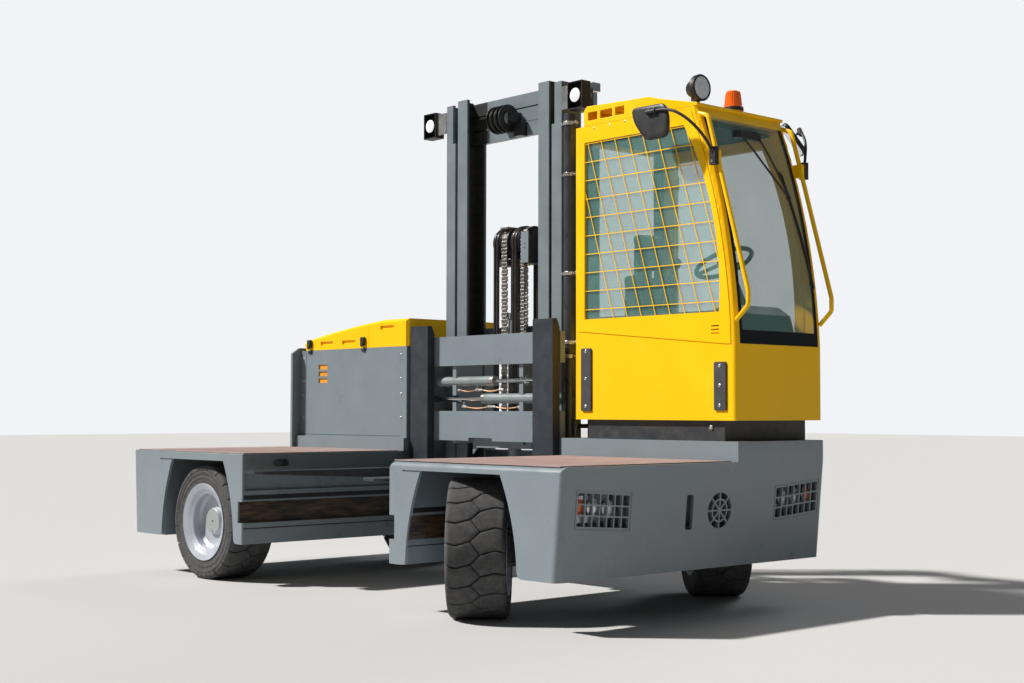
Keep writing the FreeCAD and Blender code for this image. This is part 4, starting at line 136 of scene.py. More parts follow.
class Nodes:
    """A new material, and helpers that add and link its shader nodes."""

    def __init__(self, name):
        self.mat = bpy.data.materials.new(name)
        self.mat.use_nodes = True
        self.tree = self.mat.node_tree
        self.shader = self.tree.nodes["Principled BSDF"]
        self.place = self.tree.nodes.new("ShaderNodeTexCoord").outputs["Object"]

    def add(self, kind, values=(), **settings):
        node = self.tree.nodes.new(f"ShaderNode{kind}")
        for key, value in settings.items():
            setattr(node, key, value)
        for key, value in dict(values).items():
            if isinstance(value, bpy.types.NodeSocket):
                self.tree.links.new(value, node.inputs[key])
            else:
                node.inputs[key].default_value = value
        return node

    def link(self, output, name):
        self.tree.links.new(output, self.shader.inputs[name])

    def noise(self, scale, detail=4, rough=0.55, stretch=None):
        place = self.place
        if stretch:
            place = self.add("Mapping", {"Vector": place, "Scale": stretch}).outputs[0]
        values = {"Vector": place, "Scale": scale, "Detail": detail, "Roughness": rough}
        return self.add("TexNoise", values).outputs["Fac"]

    def ramp(self, value, low, high, start=0, end=1):
        values = {0: value, 1: low, 2: high, 3: start, 4: end}
        return self.add("MapRange", values).outputs[0]

    def math(self, operation, first, second):
        return self.add("Math", {0: first, 1: second}, operation=operation).outputs[0]

    def times(self, first, second):
        return self.math("MULTIPLY", first, second)

    def bump(self, strength, distance, height):
        node = self.add("Bump", {"Strength": strength, "Distance": distance, "Height": height})
        self.link(node.outputs[0], "Normal")

    def within(self, low, high, edge):
        """1 inside a box of the frame and 0 outside, over a soft edge."""
        parts = self.add("SeparateXYZ", {0: self.place})
        mask = None
        for axis, a, b in zip("XYZ", low, high):
            for start, sign in ((a, 1), (b, -1)):
                side = self.ramp(parts.outputs[axis], start - edge, start + edge)
                if sign < 0:
                    side = self.math("SUBTRACT", 1.0, side)
                mask = self.times(mask, side) if mask else side
        return mask

    def mix(self, amount, first, second):
        return self.add("Mix", {0: amount, 6: first, 7: second}, data_type="RGBA").outputs[2]


def rgba(color, gain=1.0):
    return (*(c * gain for c in color), 1)


def surface(name, color, rough=0.45, metal=0.0, spread=0.08, grain=7, bump=0.05, bump_scale=240,
            dust=0.12, dust_color=(0.42, 0.38, 0.33), dust_top=0.9, coat=0.0,
            rough_spread=0.12, shine=0.5, zones=()):
    """Paint, plastic or metal: uneven colour, dust that thickens downwards, fine bump. Each zone
    is a box of the frame with colours of its own, painted shade among them: (low, high, first colour, second,
    edge)."""
    n = Nodes(name)
    patch = n.noise(grain, 5, 0.6)
    base = n.mix(n.ramp(patch, 0.3, 0.7), rgba(color, 1 - spread), rgba(color, 1 + spread))
    if dust:
        height = n.add("SeparateXYZ", {0: n.place}).outputs["Z"]
        low = n.ramp(height, dust_top, 0.0, 0.25, 1.0)
        cover = n.ramp(n.noise(grain * 2.3, 6, 0.7), 0.42, 0.75, 0, dust)
        base = n.mix(n.times(cover, low), base, rgba(dust_color))
    # Zones lay their own colours over the base: the hull's seam lines are painted shade, and the mast's rail
    # channels are grease and painted shade.
    for low, high, first, second, edge in zones:
        smear = n.mix(n.ramp(n.noise(5, 7, 0.7, (0.5, 1.0, 6.0)), 0.42, 0.66), rgba(first), rgba(second))
        base = n.mix(n.within(low, high, edge), base, smear)
    n.link(base, "Base Color")
    fine = n.noise(bump_scale, 3, 0.6)
    n.link(n.math("ADD", n.ramp(patch, 0.25, 0.75, rough - rough_spread, rough + rough_spread),
                 n.ramp(fine, 0.3, 0.7, -0.02, 0.02)), "Roughness")
    n.shader.inputs["Metallic"].default_value = metal
    n.shader.inputs["Coat Weight"].default_value = coat
    n.shader.inputs["Coat Roughness"].default_value = 0.12
    n.shader.inputs["Specular IOR Level"].default_value = shine
    if bump:
        n.bump(bump, 0.002, fine)
    return n.mat


def glass(name, color, alpha, zones=()):
    """Tinted glass, with a printed black edge inside the zones."""
    n = Nodes(name)
    smear = n.noise(3, 5, 0.65)
    base = n.mix(n.ramp(smear, 0.35, 0.7), rgba(color), rgba(color, 1.3))
    cover = n.ramp(smear, 0.3, 0.8, alpha, alpha + 0.05)
    for low, high in zones:
        printed = n.within(low, high, 0.002)
        base = n.mix(printed, base, (0.008, 0.009, 0.010, 1))
        cover = n.math("MAXIMUM", cover, printed)
    n.link(base, "Base Color")
    n.link(cover, "Alpha")
    n.link(n.ramp(smear, 0.3, 0.75, 0.02, 0.07), "Roughness")
    n.shader.inputs["IOR"].default_value = 1.45
    n.shader.inputs["Specular IOR Level"].default_value = 0.45
    n.mat.surface_render_method = "BLENDED"
    return n.mat


def rubber(name):
    """Tyre rubber: dark grey, with patches of pale dust."""
    n = Nodes(name)
    patch = n.noise(5, 6, 0.65)
    fine = n.noise(90, 5, 0.7)
    base = n.mix(n.ramp(patch, 0.3, 0.75), (0.034, 0.035, 0.038, 1), (0.075, 0.076, 0.078, 1))
    cover = n.ramp(n.noise(26, 7, 0.75), 0.4, 0.72, 0, 0.42)
    base = n.mix(cover, base, (0.17, 0.16, 0.15, 1))
    n.link(base, "Base Color")
    n.link(n.ramp(fine, 0.3, 0.7, 0.72, 0.92), "Roughness")
    n.shader.inputs["Specular IOR Level"].default_value = 0.3
    n.bump(0.35, 0.003, fine)
    return n.mat


def boards(name):
    """The deck boards: reddish brown phenolic ply with a fine grit, paler where it is worn."""
    n = Nodes(name)
    patch = n.noise(4, 6, 0.6)
    base = n.mix(n.ramp(patch, 0.3, 0.7), (0.26, 0.175, 0.165, 1), (0.35, 0.255, 0.24, 1))
    worn = n.ramp(n.noise(14, 6, 0.75), 0.5, 0.8, 0, 0.6)
    base = n.mix(worn, base, (0.46, 0.38, 0.36, 1))
    n.link(base, "Base Color")
    weave = n.add("TexVoronoi", {"Vector": n.place, "Scale": 160}).outputs["Distance"]
    n.link(n.ramp(weave, 0, 0.6, 0.55, 0.8), "Roughness")
    n.bump(0.3, 0.001, weave)
    return n.mat


def cloth(name, color):
    """Woven seat fabric: crossed threads with a soft sheen."""
    n = Nodes(name)
    across = n.add("TexWave", {"Vector": n.place, "Scale": 130}, bands_direction="X").outputs["Fac"]
    along = n.add("TexWave", {"Vector": n.place, "Scale": 130}, bands_direction="Z").outputs["Fac"]
    weave = n.times(across, along)
    n.link(n.mix(weave, rgba(color, 0.7), rgba(color, 1.5)), "Base Color")
    n.link(n.ramp(weave, 0, 1, 0.75, 0.95), "Roughness")
    n.shader.inputs["Sheen Weight"].default_value = 0.3
    n.bump(0.4, 0.001, weave)
    return n.mat


# Zones in the frame: low corner, high corner, two colours and how soft the border is.
HULL_GREASE = ((-1.02, -1.138, 0.43), (1.02, 0.70, 0.573), (0.016, 0.013, 0.011), (0.13, 0.075, 0.036),
               0.004)
# Painted shade: two dark bands along the walls of the bay between the hulls, where a lip and a seam throw
# shade.
HULL_SHADE_LINES = [((-0.99, -1.138, low), (0.99, 0.9, high), (0.010, 0.013, 0.017), (0.018, 0.020, 0.024), 0.0015)
              for low, high in ((0.588, 0.618), (0.3885, 0.3955))]
SHEAVE_DARK = ((-0.30, 0.30, 3.16), (0.142, 0.603, 3.44), (0.012, 0.012, 0.014), (0.03, 0.03, 0.03), 0.002)
# Grease, and painted shade, on the inner faces of the mast's rail channels.
RAIL_GREASE_AND_SHADE = [((x - 0.10, 0.492, 0.3), (x + 0.10, 0.655, 3.52), (0.022, 0.024, 0.025),
                (0.045, 0.040, 0.034), 0.003) for x in (-0.40, 0.40)]
# The windscreen's printed edge: low corner and high corner.
SCREEN_BORDER = [((2.0, 0.33, 1.55), (2.35, 1.12, 1.690)), ((2.0, 0.33, 1.55), (2.35, 0.372, 3.05)),
                 ((2.0, 1.082, 1.55), (2.35, 1.12, 3.05))]

MATS = {name: surface(name, color, rough, **more) for name, color, rough, more in (
    ("yellow", (0.95, 0.54, 0.0), 0.38, dict(spread=0.03, dust=0.03, coat=0.08, shine=0.25, grain=3,
        bump=0.04)),
    ("grey", (0.185, 0.226, 0.252), 0.34, dict(spread=0.05, dust=0.10, coat=0.2, grain=4,
        zones=[HULL_GREASE] + HULL_SHADE_LINES)),
    ("mast_grey", (0.160, 0.198, 0.220), 0.38, dict(spread=0.06, dust=0.08, coat=0.15,
        zones=[SHEAVE_DARK] + RAIL_GREASE_AND_SHADE)),
    ("fork", (0.022, 0.028, 0.038), 0.42, dict(spread=0.15, dust=0.12)),
    ("dark", (0.022, 0.025, 0.03), 0.5, dict(spread=0.2, dust=0.3)),
    ("strip", (0.035, 0.038, 0.045), 0.7, dict(spread=0.15, dust=0.2)),
    ("tube", (0.030, 0.034, 0.042), 0.32, dict(spread=0.2, dust=0.2, coat=0.3)),
    ("lining", (0.018, 0.019, 0.020), 0.85, dict(spread=0.25, dust=0.05)),
    ("chrome", (0.72, 0.73, 0.75), 0.14, dict(metal=1.0, spread=0.04, dust=0, bump=0, rough_spread=0.05)),
    ("steel", (0.42, 0.41, 0.40), 0.36, dict(metal=0.9, spread=0.15, dust=0.2)),
    ("chain", (0.38, 0.36, 0.33), 0.34, dict(metal=0.85, spread=0.35, dust=0.4,
        dust_color=(0.1, 0.08, 0.06), grain=60)),
    ("cylinder", (0.20, 0.235, 0.24), 0.35, dict(spread=0.1, dust=0.15, coat=0.2)),
    ("silver", (0.44, 0.47, 0.53), 0.36, dict(metal=0.2, spread=0.05, dust=0.35,
        dust_color=(0.2, 0.17, 0.14), dust_top=0.8)),
    ("plastic", (0.012, 0.012, 0.014), 0.5, dict(spread=0.25, dust=0.1, bump=0.25, bump_scale=420)),
    # seal: black rubber, and also the painted shade in the hub holes, the plate holes and the cab slits.
    ("seal", (0.006, 0.006, 0.007), 0.62, dict(spread=0.2, dust=0.05, bump=0.1)),
    ("hose", (0.022, 0.018, 0.016), 0.36, dict(spread=0.3, dust=0.3, dust_color=(0.09, 0.06, 0.045),
        dust_top=3, coat=0.3)),
    ("copper", (0.62, 0.36, 0.20), 0.35, dict(metal=0.8, spread=0.2, dust=0.3,
        dust_color=(0.1, 0.07, 0.05), dust_top=2)),
    ("brass", (0.70, 0.50, 0.12), 0.3, dict(metal=0.8, spread=0.1, dust=0.1)),
    ("battery", (0.05, 0.052, 0.06), 0.6, dict(spread=0.2, dust=0.2)),
    ("orange", (0.80, 0.30, 0.01), 0.5, dict(spread=0.1, dust=0.05)),
    ("amber", (0.95, 0.16, 0.008), 0.12, dict(spread=0.12, dust=0, coat=0.8)),
    ("lens", (0.80, 0.83, 0.86), 0.16, dict(metal=0.4, spread=0.2, dust=0, coat=1.0, grain=26)),
    ("bright_lens", (0.85, 0.88, 0.95), 0.2, dict(spread=0.05, dust=0, coat=1.0)),
    ("zinc", (0.62, 0.62, 0.60), 0.3, dict(metal=0.85, spread=0.08, dust=0.1)),
    ("hub", (0.30, 0.34, 0.33), 0.4, dict(metal=0.1, spread=0.06, dust=0.25, dust_top=0.7)),
)}
MATS.update(glass=glass("glass", (0.17, 0.34, 0.32), 0.24, SCREEN_BORDER), rubber=rubber("rubber"),
            boards=boards("boards"), fabric=cloth("fabric", (0.02, 0.021, 0.024)))


# ---- pieces made here ----

AHEAD, NEAR, UP = (1, 0, 0), (0, -1, 0), (0, 0, 1)


class Shape:
    """Collects plain solids of one material that ride on one body, as one joined mesh."""

    def __init__(self):
        self.bm = bmesh.new()

    def ring(self, points):
        return [self.bm.verts.new(p) for p in points]

    def circle(self, centre, side, other, radius, sides):
        return self.ring(centre + (side * math.cos(t) + other * math.sin(t)) * radius
                         for t in (2 * math.pi * i / sides for i in range(sides)))

    def close(self, rings, caps=True):
        """Joins rings of equal length with quads, and caps the two ends."""
        count = len(rings[0])
        for first, second in zip(rings, rings[1:]):
            for i in range(count):
                j = (i + 1) % count
                self.bm.faces.new((first[i], first[j], second[j], second[i]))
        if caps:
            self.bm.faces.new(list(reversed(rings[0])))
            self.bm.faces.new(rings[-1])

    def block(self, low, high):
        """A box between two corners."""
        low, high = Vector(low), Vector(high)
        for vert in bmesh.ops.create_cube(self.bm, size=1)["verts"]:
            vert.co = (low + high) / 2 + Vector(vert.co[i] * (high[i] - low[i]) for i in range(3))

    def blocks(self, *corners):
        for low, high in corners:
            self.block(low, high)

    def lathe(self, place, axis, outline, sides=24, caps=True):
        """A solid of revolution: outline holds (distance along the axis, radius)."""
        axis = Vector(axis).normalized()
        side = axis.orthogonal().normalized()
        other = axis.cross(side)
        self.close([self.circle(Vector(place) + axis * along, side, other, max(radius, 1e-5), sides)
                    for along, radius in outline], caps)

    def rod(self, start, end, radius, sides=20, tip=0.0):
        axis = Vector(end) - Vector(start)
        length = axis.length
        outline = [(0, radius), (length, radius)]
        if tip:
            outline = [(0, radius), (length - tip, radius), (length, radius - tip)]
        self.lathe(start, axis, outline, sides)

    def plate(self, outline, axis, low, high):
        """A prism: a flat outline given in the two other axes, from low to high along axis."""
        index = "xyz".index(axis)
        self.close([self.ring([*point[:index], level, *point[index:]] for point in outline)
                    for level in (low, high)])

    def tube(self, points, radius, sides=10):
        """A round bar along points, with level rings at its bends."""
        points = [Vector(p) for p in points]
        rings = []
        side = None
        for i, point in enumerate(points):
            ahead = (points[min(i + 1, len(points) - 1)] - points[max(i - 1, 0)]).normalized()
            side = (side - ahead * side.dot(ahead)).normalized() if side else ahead.orthogonal().normalized()
            other = ahead.cross(side)
            rings.append(self.circle(point, side, other, radius, sides))
        self.close(rings)

    def done(self, name, body, kind, soft=0.0, slot=None):
        bmesh.ops.recalc_face_normals(self.bm, faces=self.bm.faces)
        mesh = bpy.data.meshes.new(name)
        self.bm.to_mesh(mesh)
        self.bm.free()
        return finish_piece(name, mesh, body, kind, soft)


def turned(name, body, kind, place, axis, outline, sides, caps=True, slot=None):
    """A piece that is one solid of revolution."""
    shape = Shape()
    shape.lathe(place, axis, outline, sides, caps)
    shape.done(name, body, kind, slot=slot)


def finish_piece(name, mesh, body, kind, soft=0.0, angle=35):
    """Smooths, colours and places a mesh; soft is the width of its rounded edges."""
    for face in mesh.polygons:
        face.use_smooth = True
    mesh.set_sharp_from_angle(angle=math.radians(angle))
    item = placed(name, mesh)
    mesh.materials.append(MATS[kind])
    if soft:
        soften(item, soft, 40)
        item.modifiers.new("normal", "WEIGHTED_NORMAL").keep_sharp = True
    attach(item, body)
    return item


def soften(item, width, angle):
    """Rounds the edges that are sharper than an angle."""
    edge = item.modifiers.new("edge", "BEVEL")
    edge.width = width
    edge.segments = 2
    edge.limit_method = "ANGLE"
    edge.angle_limit = math.radians(angle)


def curve_points(corners, step):
    """A smooth open curve near the corners: a quadratic through their midpoints."""
    corners = [Vector(c) for c in corners]
    path = [corners[0]]
    for i in range(1, len(corners) - 1):
        start = corners[0] if i == 1 else (corners[i - 1] + corners[i]) / 2
        end = corners[-1] if i == len(corners) - 2 else (corners[i] + corners[i + 1]) / 2
        for k in range(1, step + 1):
            t = k / step
            path.append(start * (1 - t) ** 2 + corners[i] * 2 * t * (1 - t) + end * t * t)
    return path


# ---- tyres and wheels ----

TYRE = {"radius": 0.405, "half": 0.1725, "flat": 0.1445, "shoulder": 0.028, "reach": 0.200,
        "depth": 0.017, "lugs": 20}
PITCH = 2 * math.pi * TYRE["radius"] / TYRE["lugs"]


def groove_depth(run):
    """Full under the tread, shallow where the lugs end on the sidewall."""
    start = TYRE["flat"] + TYRE["shoulder"] * 0.4
    t = min(max((run - start) / (TYRE["reach"] - start), 0), 1)
    return TYRE["depth"] * (1 - 0.62 * t * t * (3 - 2 * t))


def section(s, level):
    """A point (across, radius) of the tyre's section: s along its outside from the middle,
    level 1 on the lugs' tops and 0 on the grooves' floor."""
    run = abs(s)
    top, flat, shoulder = TYRE["radius"], TYRE["flat"], TYRE["shoulder"]
    arc = shoulder * math.pi / 2
    deep = groove_depth(run) * (1 - level)
    if run <= flat:
        across, radius, out, up = run, top, 0, 1
    elif run < flat + arc:
        turn = (run - flat) / shoulder
        out, up = math.sin(turn), math.cos(turn)
        across = flat + shoulder * out
        radius = top - shoulder * (1 - up)
    else:
        out, up = 1, 0
        across = TYRE["half"]
        radius = top - shoulder - (run - flat - arc)
    return math.copysign(across - deep * out, s), radius - deep * up


def shrink(outline, gaps):
    """Moves each side of an outline inwards by its own gap."""
    count = len(outline)
    lines = []
    for i in range(count):
        a, b = Vector(outline[i]), Vector(outline[(i + 1) % count])
        inward = Vector((a.y - b.y, b.x - a.x)).normalized()
        lines.append((a + inward * gaps[i], b - a))
    corners = []
    for i in range(count):
        (p, d), (q, e) = lines[i - 1], lines[i]
        t = (q - p).cross(e) / d.cross(e)
        corners.append(p + d * t)
    return corners


LUG_EDGE = 0.0035
WIDE, NARROW = 0.0045, 0.0022


def lug(outline):
    """One tread block as (points, faces), laid flat: x along the section, y round the tyre and
    z from 0 on the groove's floor to 1 on top."""
    corners = shrink(outline, (WIDE, WIDE, WIDE, NARROW, WIDE, WIDE, 0.0))
    bm = bmesh.new()
    draft = shrink(corners, [-0.002] * len(corners))
    inner = shrink(corners, [LUG_EDGE] * len(corners))
    half = shrink(corners, [LUG_EDGE * 0.3] * len(corners))
    rings = [[bm.verts.new((p.x, p.y, z)) for p in ring]
             for ring, z in ((draft, 0), (corners, 0.78), (half, 0.93), (inner, 1))]
    for low, high in zip(rings, rings[1:]):
        for i in range(len(low)):
            j = (i + 1) % len(low)
            bm.faces.new((low[i], low[j], high[j], high[i]))
    bm.faces.new(rings[-1])
    cuts = [TYRE["flat"] * k / 3 for k in range(4)]
    cuts += [TYRE["flat"] + TYRE["shoulder"] * math.pi / 2 * k / 5 for k in range(1, 6)]
    planes = [((cut * side, 0, 0), (1, 0, 0)) for cut in cuts for side in (-1, 1)]
    planes += [((0, PITCH * k / 6, 0), (0, 1, 0)) for k in range(-3, 14)]
    for place, way in planes:
        bmesh.ops.bisect_plane(bm, geom=bm.verts[:] + bm.edges[:] + bm.faces[:],
                               plane_co=place, plane_no=way)
    bm.verts.index_update()
    points = [v.co.copy() for v in bm.verts]
    faces = [tuple(v.index for v in f.verts) for f in bm.faces]
    bm.free()
    return points, faces


def left_outline():
    """The left row's block: from the shoulder it narrows to a neck, then a point at the middle."""
    shape = [(0, 0), (0.22, -0.15), (0.43, 0.03), (0.57, 0.46), (0.43, 1.03), (0.22, 0.85), (0, 1.0)]
    reach = TYRE["reach"]
    return [((u * 2 - 1) * reach, v * PITCH) for u, v in shape]


def right_outline():
    """The other row's block: the same, turned half round and moved on by half a pitch."""
    return [(-x, 1.49 * PITCH - y) for x, y in left_outline()]


def tyre_mesh(name):
    """Base ring with a lowered tread, ribbed sidewalls, and two staggered rows of lugs."""
    points, faces = [], []
    sides = 120
    reach, half = TYRE["reach"], TYRE["half"]
    steps = [reach * k / 26 for k in range(-26, 27)]
    profile = [section(s, 0) for s in steps]
    wall = [(half - inset, radius) for inset, radius in (
        (0.001, 0.360), (0, 0.356), (0.001, 0.352), (0, 0.3434), (0.005, 0.3378), (0.005, 0.322),
        (0.0025, 0.319), (0.0025, 0.314), (0.005, 0.311), (0.005, 0.298), (0.009, 0.2755), (0.0095, 0.266))]
    profile = [(-a, r) for a, r in reversed(wall)] + profile + wall
    for k in range(sides):
        turn = 2 * math.pi * k / sides
        points += [(r * math.cos(turn), a, r * math.sin(turn)) for a, r in profile]
    count = len(profile)
    for k in range(sides):
        first, second = k * count, (k + 1) % sides * count
        for i in range(count - 1):
            faces.append((first + i, first + i + 1, second + i + 1, second + i))
        faces.append((first + count - 1, first, second, second + count - 1))
    for outline in (left_outline(), right_outline()):
        flat, tiles = lug(outline)
        for k in range(TYRE["lugs"]):
            base = len(points)
            for p in flat:
                across, radius = section(p.x, p.z)
                turn = p.y / TYRE["radius"] + 2 * math.pi * k / TYRE["lugs"]
                points.append((radius * math.cos(turn), across, radius * math.sin(turn)))
            faces += [tuple(base + i for i in tile) for tile in tiles]
    mesh = bpy.data.meshes.new(name)
    mesh.from_pydata(points, [], faces)
    return mesh


def wheel_place(joint):
    """From a wheel's own axes, +Y outwards, to the frame, at the joint's centre."""
    centre = Vector(joint["pos_m"])
    axis = Vector(joint["axis"]).normalized()
    if axis.y * centre.y < 0:
        axis = -axis
    up = Vector(UP)
    turn = Matrix((axis.cross(up), axis, up)).transposed()
    return Matrix.Translation(centre) @ turn.to_4x4()


HUB_DEPTH = 0.087


def wheels():
    """Treaded tyres in place of the plain ones, and the hubs' flat covers with their two holes, drawn as
    black discs of painted shade.
    """
    for joint in frame["joints"]:
        if not joint["name"].endswith("_spin"):
            continue
        wheel = joint["name"][:-5]
        body = joint["child"]
        place = wheel_place(joint)
        mesh = tyre_mesh(f"{wheel}_tread")
        mesh.transform(place)
        tread = finish_piece(f"{wheel}_tread", mesh, body, "rubber", angle=50)
        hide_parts(f"{wheel}_tyre")
        cover = Shape()
        face = TYRE["half"] - HUB_DEPTH
        outline = [(0.0, 0.0905), (0.003, 0.0905), (0.005, 0.0885), (0.005, 0.010), (0.0035, 0.008),
                   (0.0035, 0.0)]
        cover.lathe((0, face, 0), (0, 1, 0), outline, 64)
        cover.done(f"{wheel}_hub_cover", body, "hub").data.transform(place)
        # The two holes are black discs: painted shade that stands for their depth.
        hole_shades = Shape()
        for x, z, radius, level in ((0, 0, 0.0082, 0.0042), (0, -0.072, 0.0062, 0.0052)):
            hole_shades.lathe((x, face + 0.0005, z), (0, 1, 0), [(0, radius), (level, radius)], 20)
        hole_shades.done(f"{wheel}_hub_hole_shades", body, "seal").data.transform(place)


# ---- hull, battery box and hood ----

BOX_FACE = 0.250
CATCHES = (-2.052, -1.335)


def heads(shape, spots, axis, radius=0.009, height=0.006, sides=6):
    """Screw heads on a face: each a low cap with a chamfered rim."""
    for spot in spots:
        shape.lathe(spot, axis, [(-0.0005, radius), (height * 0.65, radius), (height, radius * 0.7)], sides)


def battery_box_trim():
    screws = Shape()
    spots = [(-2.142, BOX_FACE, z) for z in (1.616, 1.438, 1.321, 1.142)]
    spots += [(-0.868, BOX_FACE, z) for z in (1.620, 1.441, 1.323, 1.147)]
    heads(screws, spots, NEAR, 0.0085, 0.005, 20)
    screws.done("box_screws", "chassis", "zinc")
    catches = Shape()
    for x in CATCHES:
        catches.block((x - 0.022, BOX_FACE - 0.010, 1.655), (x + 0.022, BOX_FACE + 0.002, 1.672))
        for leg in (x - 0.012, x + 0.012):
            catches.rod((leg, BOX_FACE - 0.009, 1.668), (leg, BOX_FACE - 0.009, 1.690), 0.003, 8)
    catches.done("box_catches", "chassis", "plastic", 0.002)
    latches = Shape()
    for x in CATCHES:
        latches.block((x - 0.024, BOX_FACE - 0.022, 1.700), (x + 0.024, BOX_FACE - 0.002, 1.764))
        latches.block((x - 0.014, BOX_FACE - 0.028, 1.690), (x + 0.014, BOX_FACE - 0.018, 1.726))
    latches.done("lid_latches", "hood", "plastic", 0.004)
    insert = Shape()
    insert.block((-1.965, 0.2585, 1.395), (-1.795, 0.2625, 1.590))
    insert.done("box_orange_insert", "chassis", "orange")


def front_lamps():
    """Lens covers on the three round lamps behind each grille: amber outside, then two clear."""
    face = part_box("headlamps")[1][0]
    for name, outer, side in (("near", -0.979, 1), ("far", 1.028, -1)):
        for number, kind in enumerate(("amber", "lens", "bright_lens")):
            spot = (face, outer + 0.117 * number * side, 0.683 - 0.0097 * number)
            turned(f"{name}_front_lens_{number}", "chassis", kind, spot, AHEAD,
                   [(0.0, 0.0445), (0.0025, 0.0445), (0.006, 0.036), (0.008, 0.018), (0.008, 0.0)], 36,
                   slot="lamp_lens")
            turned(f"{name}_front_ring_{number}", "chassis", "zinc", spot, AHEAD,
                   [(-0.006, 0.0455), (-0.006, 0.049), (0.004, 0.049), (0.004, 0.0447)], 36, caps=False)


# ---- cab ----

CAB_FACE = 0.302
STRIP_FACE = CAB_FACE - 0.0118
SEAL_BACK = 0.329


def pill(centre, half_x, half_z, radius, steps=5):
    """A flat outline in X and Z with rounded corners."""
    x, z = centre
    points = []
    for sx, sz, start in ((1, 1, 0), (-1, 1, 90), (-1, -1, 180), (1, -1, 270)):
        for k in range(steps + 1):
            turn = math.radians(start + 90 * k / steps)
            points.append((x + sx * (half_x - radius) + radius * math.cos(turn),
                           z + sz * (half_z - radius) + radius * math.sin(turn)))
    return points


def screen_x(level):
    """How far forward the windscreen's outside lies at a height."""
    best = {}
    for vert in NODES["windscreen"].data.vertices:
        if vert.co.y < 0.36:
            key = round(vert.co.z, 3)
            best[key] = max(best.get(key, 0), vert.co.x)
    levels = sorted(z for z in best if z < 3.0)
    for low, high in zip(levels, levels[1:]):
        if low <= level <= high:
            share = (level - low) / (high - low)
            return best[low] + (best[high] - best[low]) * share
    return best[levels[0]] if level < levels[0] else best[levels[-1]]


def on_screen(y, z, off=0.0):
    return Vector((screen_x(z) + off, y, z))


def cab_trim():
    strips = Shape()
    for x, half_x, low, high in ((1.0465, 0.0465, 1.199, 1.610), (2.184, 0.047, 1.205, 1.497)):
        strips.plate(pill((x, (low + high) / 2), half_x, (high - low) / 2, 0.010), "y",
                     CAB_FACE - 0.012, CAB_FACE + 0.0005)
    strips.done("rubber_strips", "chassis", "strip", 0.0025)
    screws = Shape()
    spots = [(1.0465, STRIP_FACE, z) for z in (1.587, 1.409, 1.229)]
    spots += [(2.184, STRIP_FACE, z) for z in (1.472, 1.354, 1.234)]
    heads(screws, spots, NEAR, 0.0105, 0.005, 16)
    heads(screws, [(2.084, 0.332, 1.101)], NEAR, 0.016, 0.010)
    spots = [(x, CAB_FACE, z) for x, z in
             ((0.989, 3.009), (0.989, 2.379), (2.139, 2.384), (0.989, 1.745), (2.21, 1.77), (1.61, 1.70),
              (1.112, 3.058), (1.254, 3.061), (1.389, 3.064))]
    heads(screws, spots, NEAR, 0.0065, 0.003, 12)
    screws.done("cab_screws", "chassis", "zinc")
    # The louvres and slots are black pills on the panel: painted shade in their openings.
    slit_shades = Shape()
    pills = [pill((x, 1.739), 0.027, 0.0035, 0.0034) for x in (1.070, 1.391, 1.709, 2.021)]
    pills += [pill((2.149, z), 0.029, 0.0052, 0.005) for z in (1.7135, 1.687, 1.660)]
    for outline in pills:
        slit_shades.plate(outline, "y", CAB_FACE - 0.0006, CAB_FACE + 0.002)
    slit_shades.done("cab_slit_shades", "chassis", "seal")
    lining = Shape()
    lining.blocks(((1.02, 0.335, 2.985), (1.93, 1.10, 3.000)), ((0.985, 0.335, 1.80), (1.005, 0.40, 2.985)),
                  ((0.985, 1.02, 1.80), (1.005, 1.10, 2.985)), ((0.985, 0.335, 1.22), (1.005, 1.10, 1.80)),
                  ((1.005, 0.328, 1.80), (1.060, 0.345, 2.985)), ((1.01, 0.33, 1.165), (2.20, 1.105, 1.182)),
                  ((1.01, 0.328, 1.20), (2.19, 0.340, 1.790)))
    lining.done("cab_lining", "chassis", "lining", 0.004)
    seal = Shape()
    seal.blocks(((1.024, 0.3195, 1.795), (1.049, SEAL_BACK, 2.975)),
                ((1.024, 0.3195, 1.790), (2.17, SEAL_BACK, 1.812)))
    seal.done("side_window_seal", "chassis", "seal", 0.002)


def wipers():
    arms = Shape()
    motor = on_screen(0.70, 2.93)
    arms.block(motor + Vector((-0.014, -0.10, -0.020)), motor + Vector((0.030, 0.13, 0.022)))
    for start, knee, end in (((0.631, 2.935), (0.80, 2.74), (0.963, 2.560)),
                             ((0.799, 2.950), (0.90, 2.76), (0.985, 2.545))):
        path = [on_screen(*start, 0.022), on_screen(*start, 0.034), on_screen(*knee, 0.030),
                on_screen(*end, 0.026)]
        arms.tube(curve_points(path, 5), 0.0065, 8)
        arms.rod(on_screen(*start, 0.004), on_screen(*start, 0.040), 0.016, 14, 0.004)
    for y, z, off, radius in ((0.955, 2.72, 0.012, 0.008), (0.957, 2.70, 0.024, 0.0045)):
        blade = [on_screen(y + 0.026 * k, z - 0.145 * k, off) for k in range(6)]
        arms.tube(curve_points(blade, 4), radius, 6)
    arms.rod(on_screen(0.978, 2.552, 0.008), on_screen(0.978, 2.552, 0.032), 0.010, 10)
    arms.done("wipers", "chassis", "plastic")


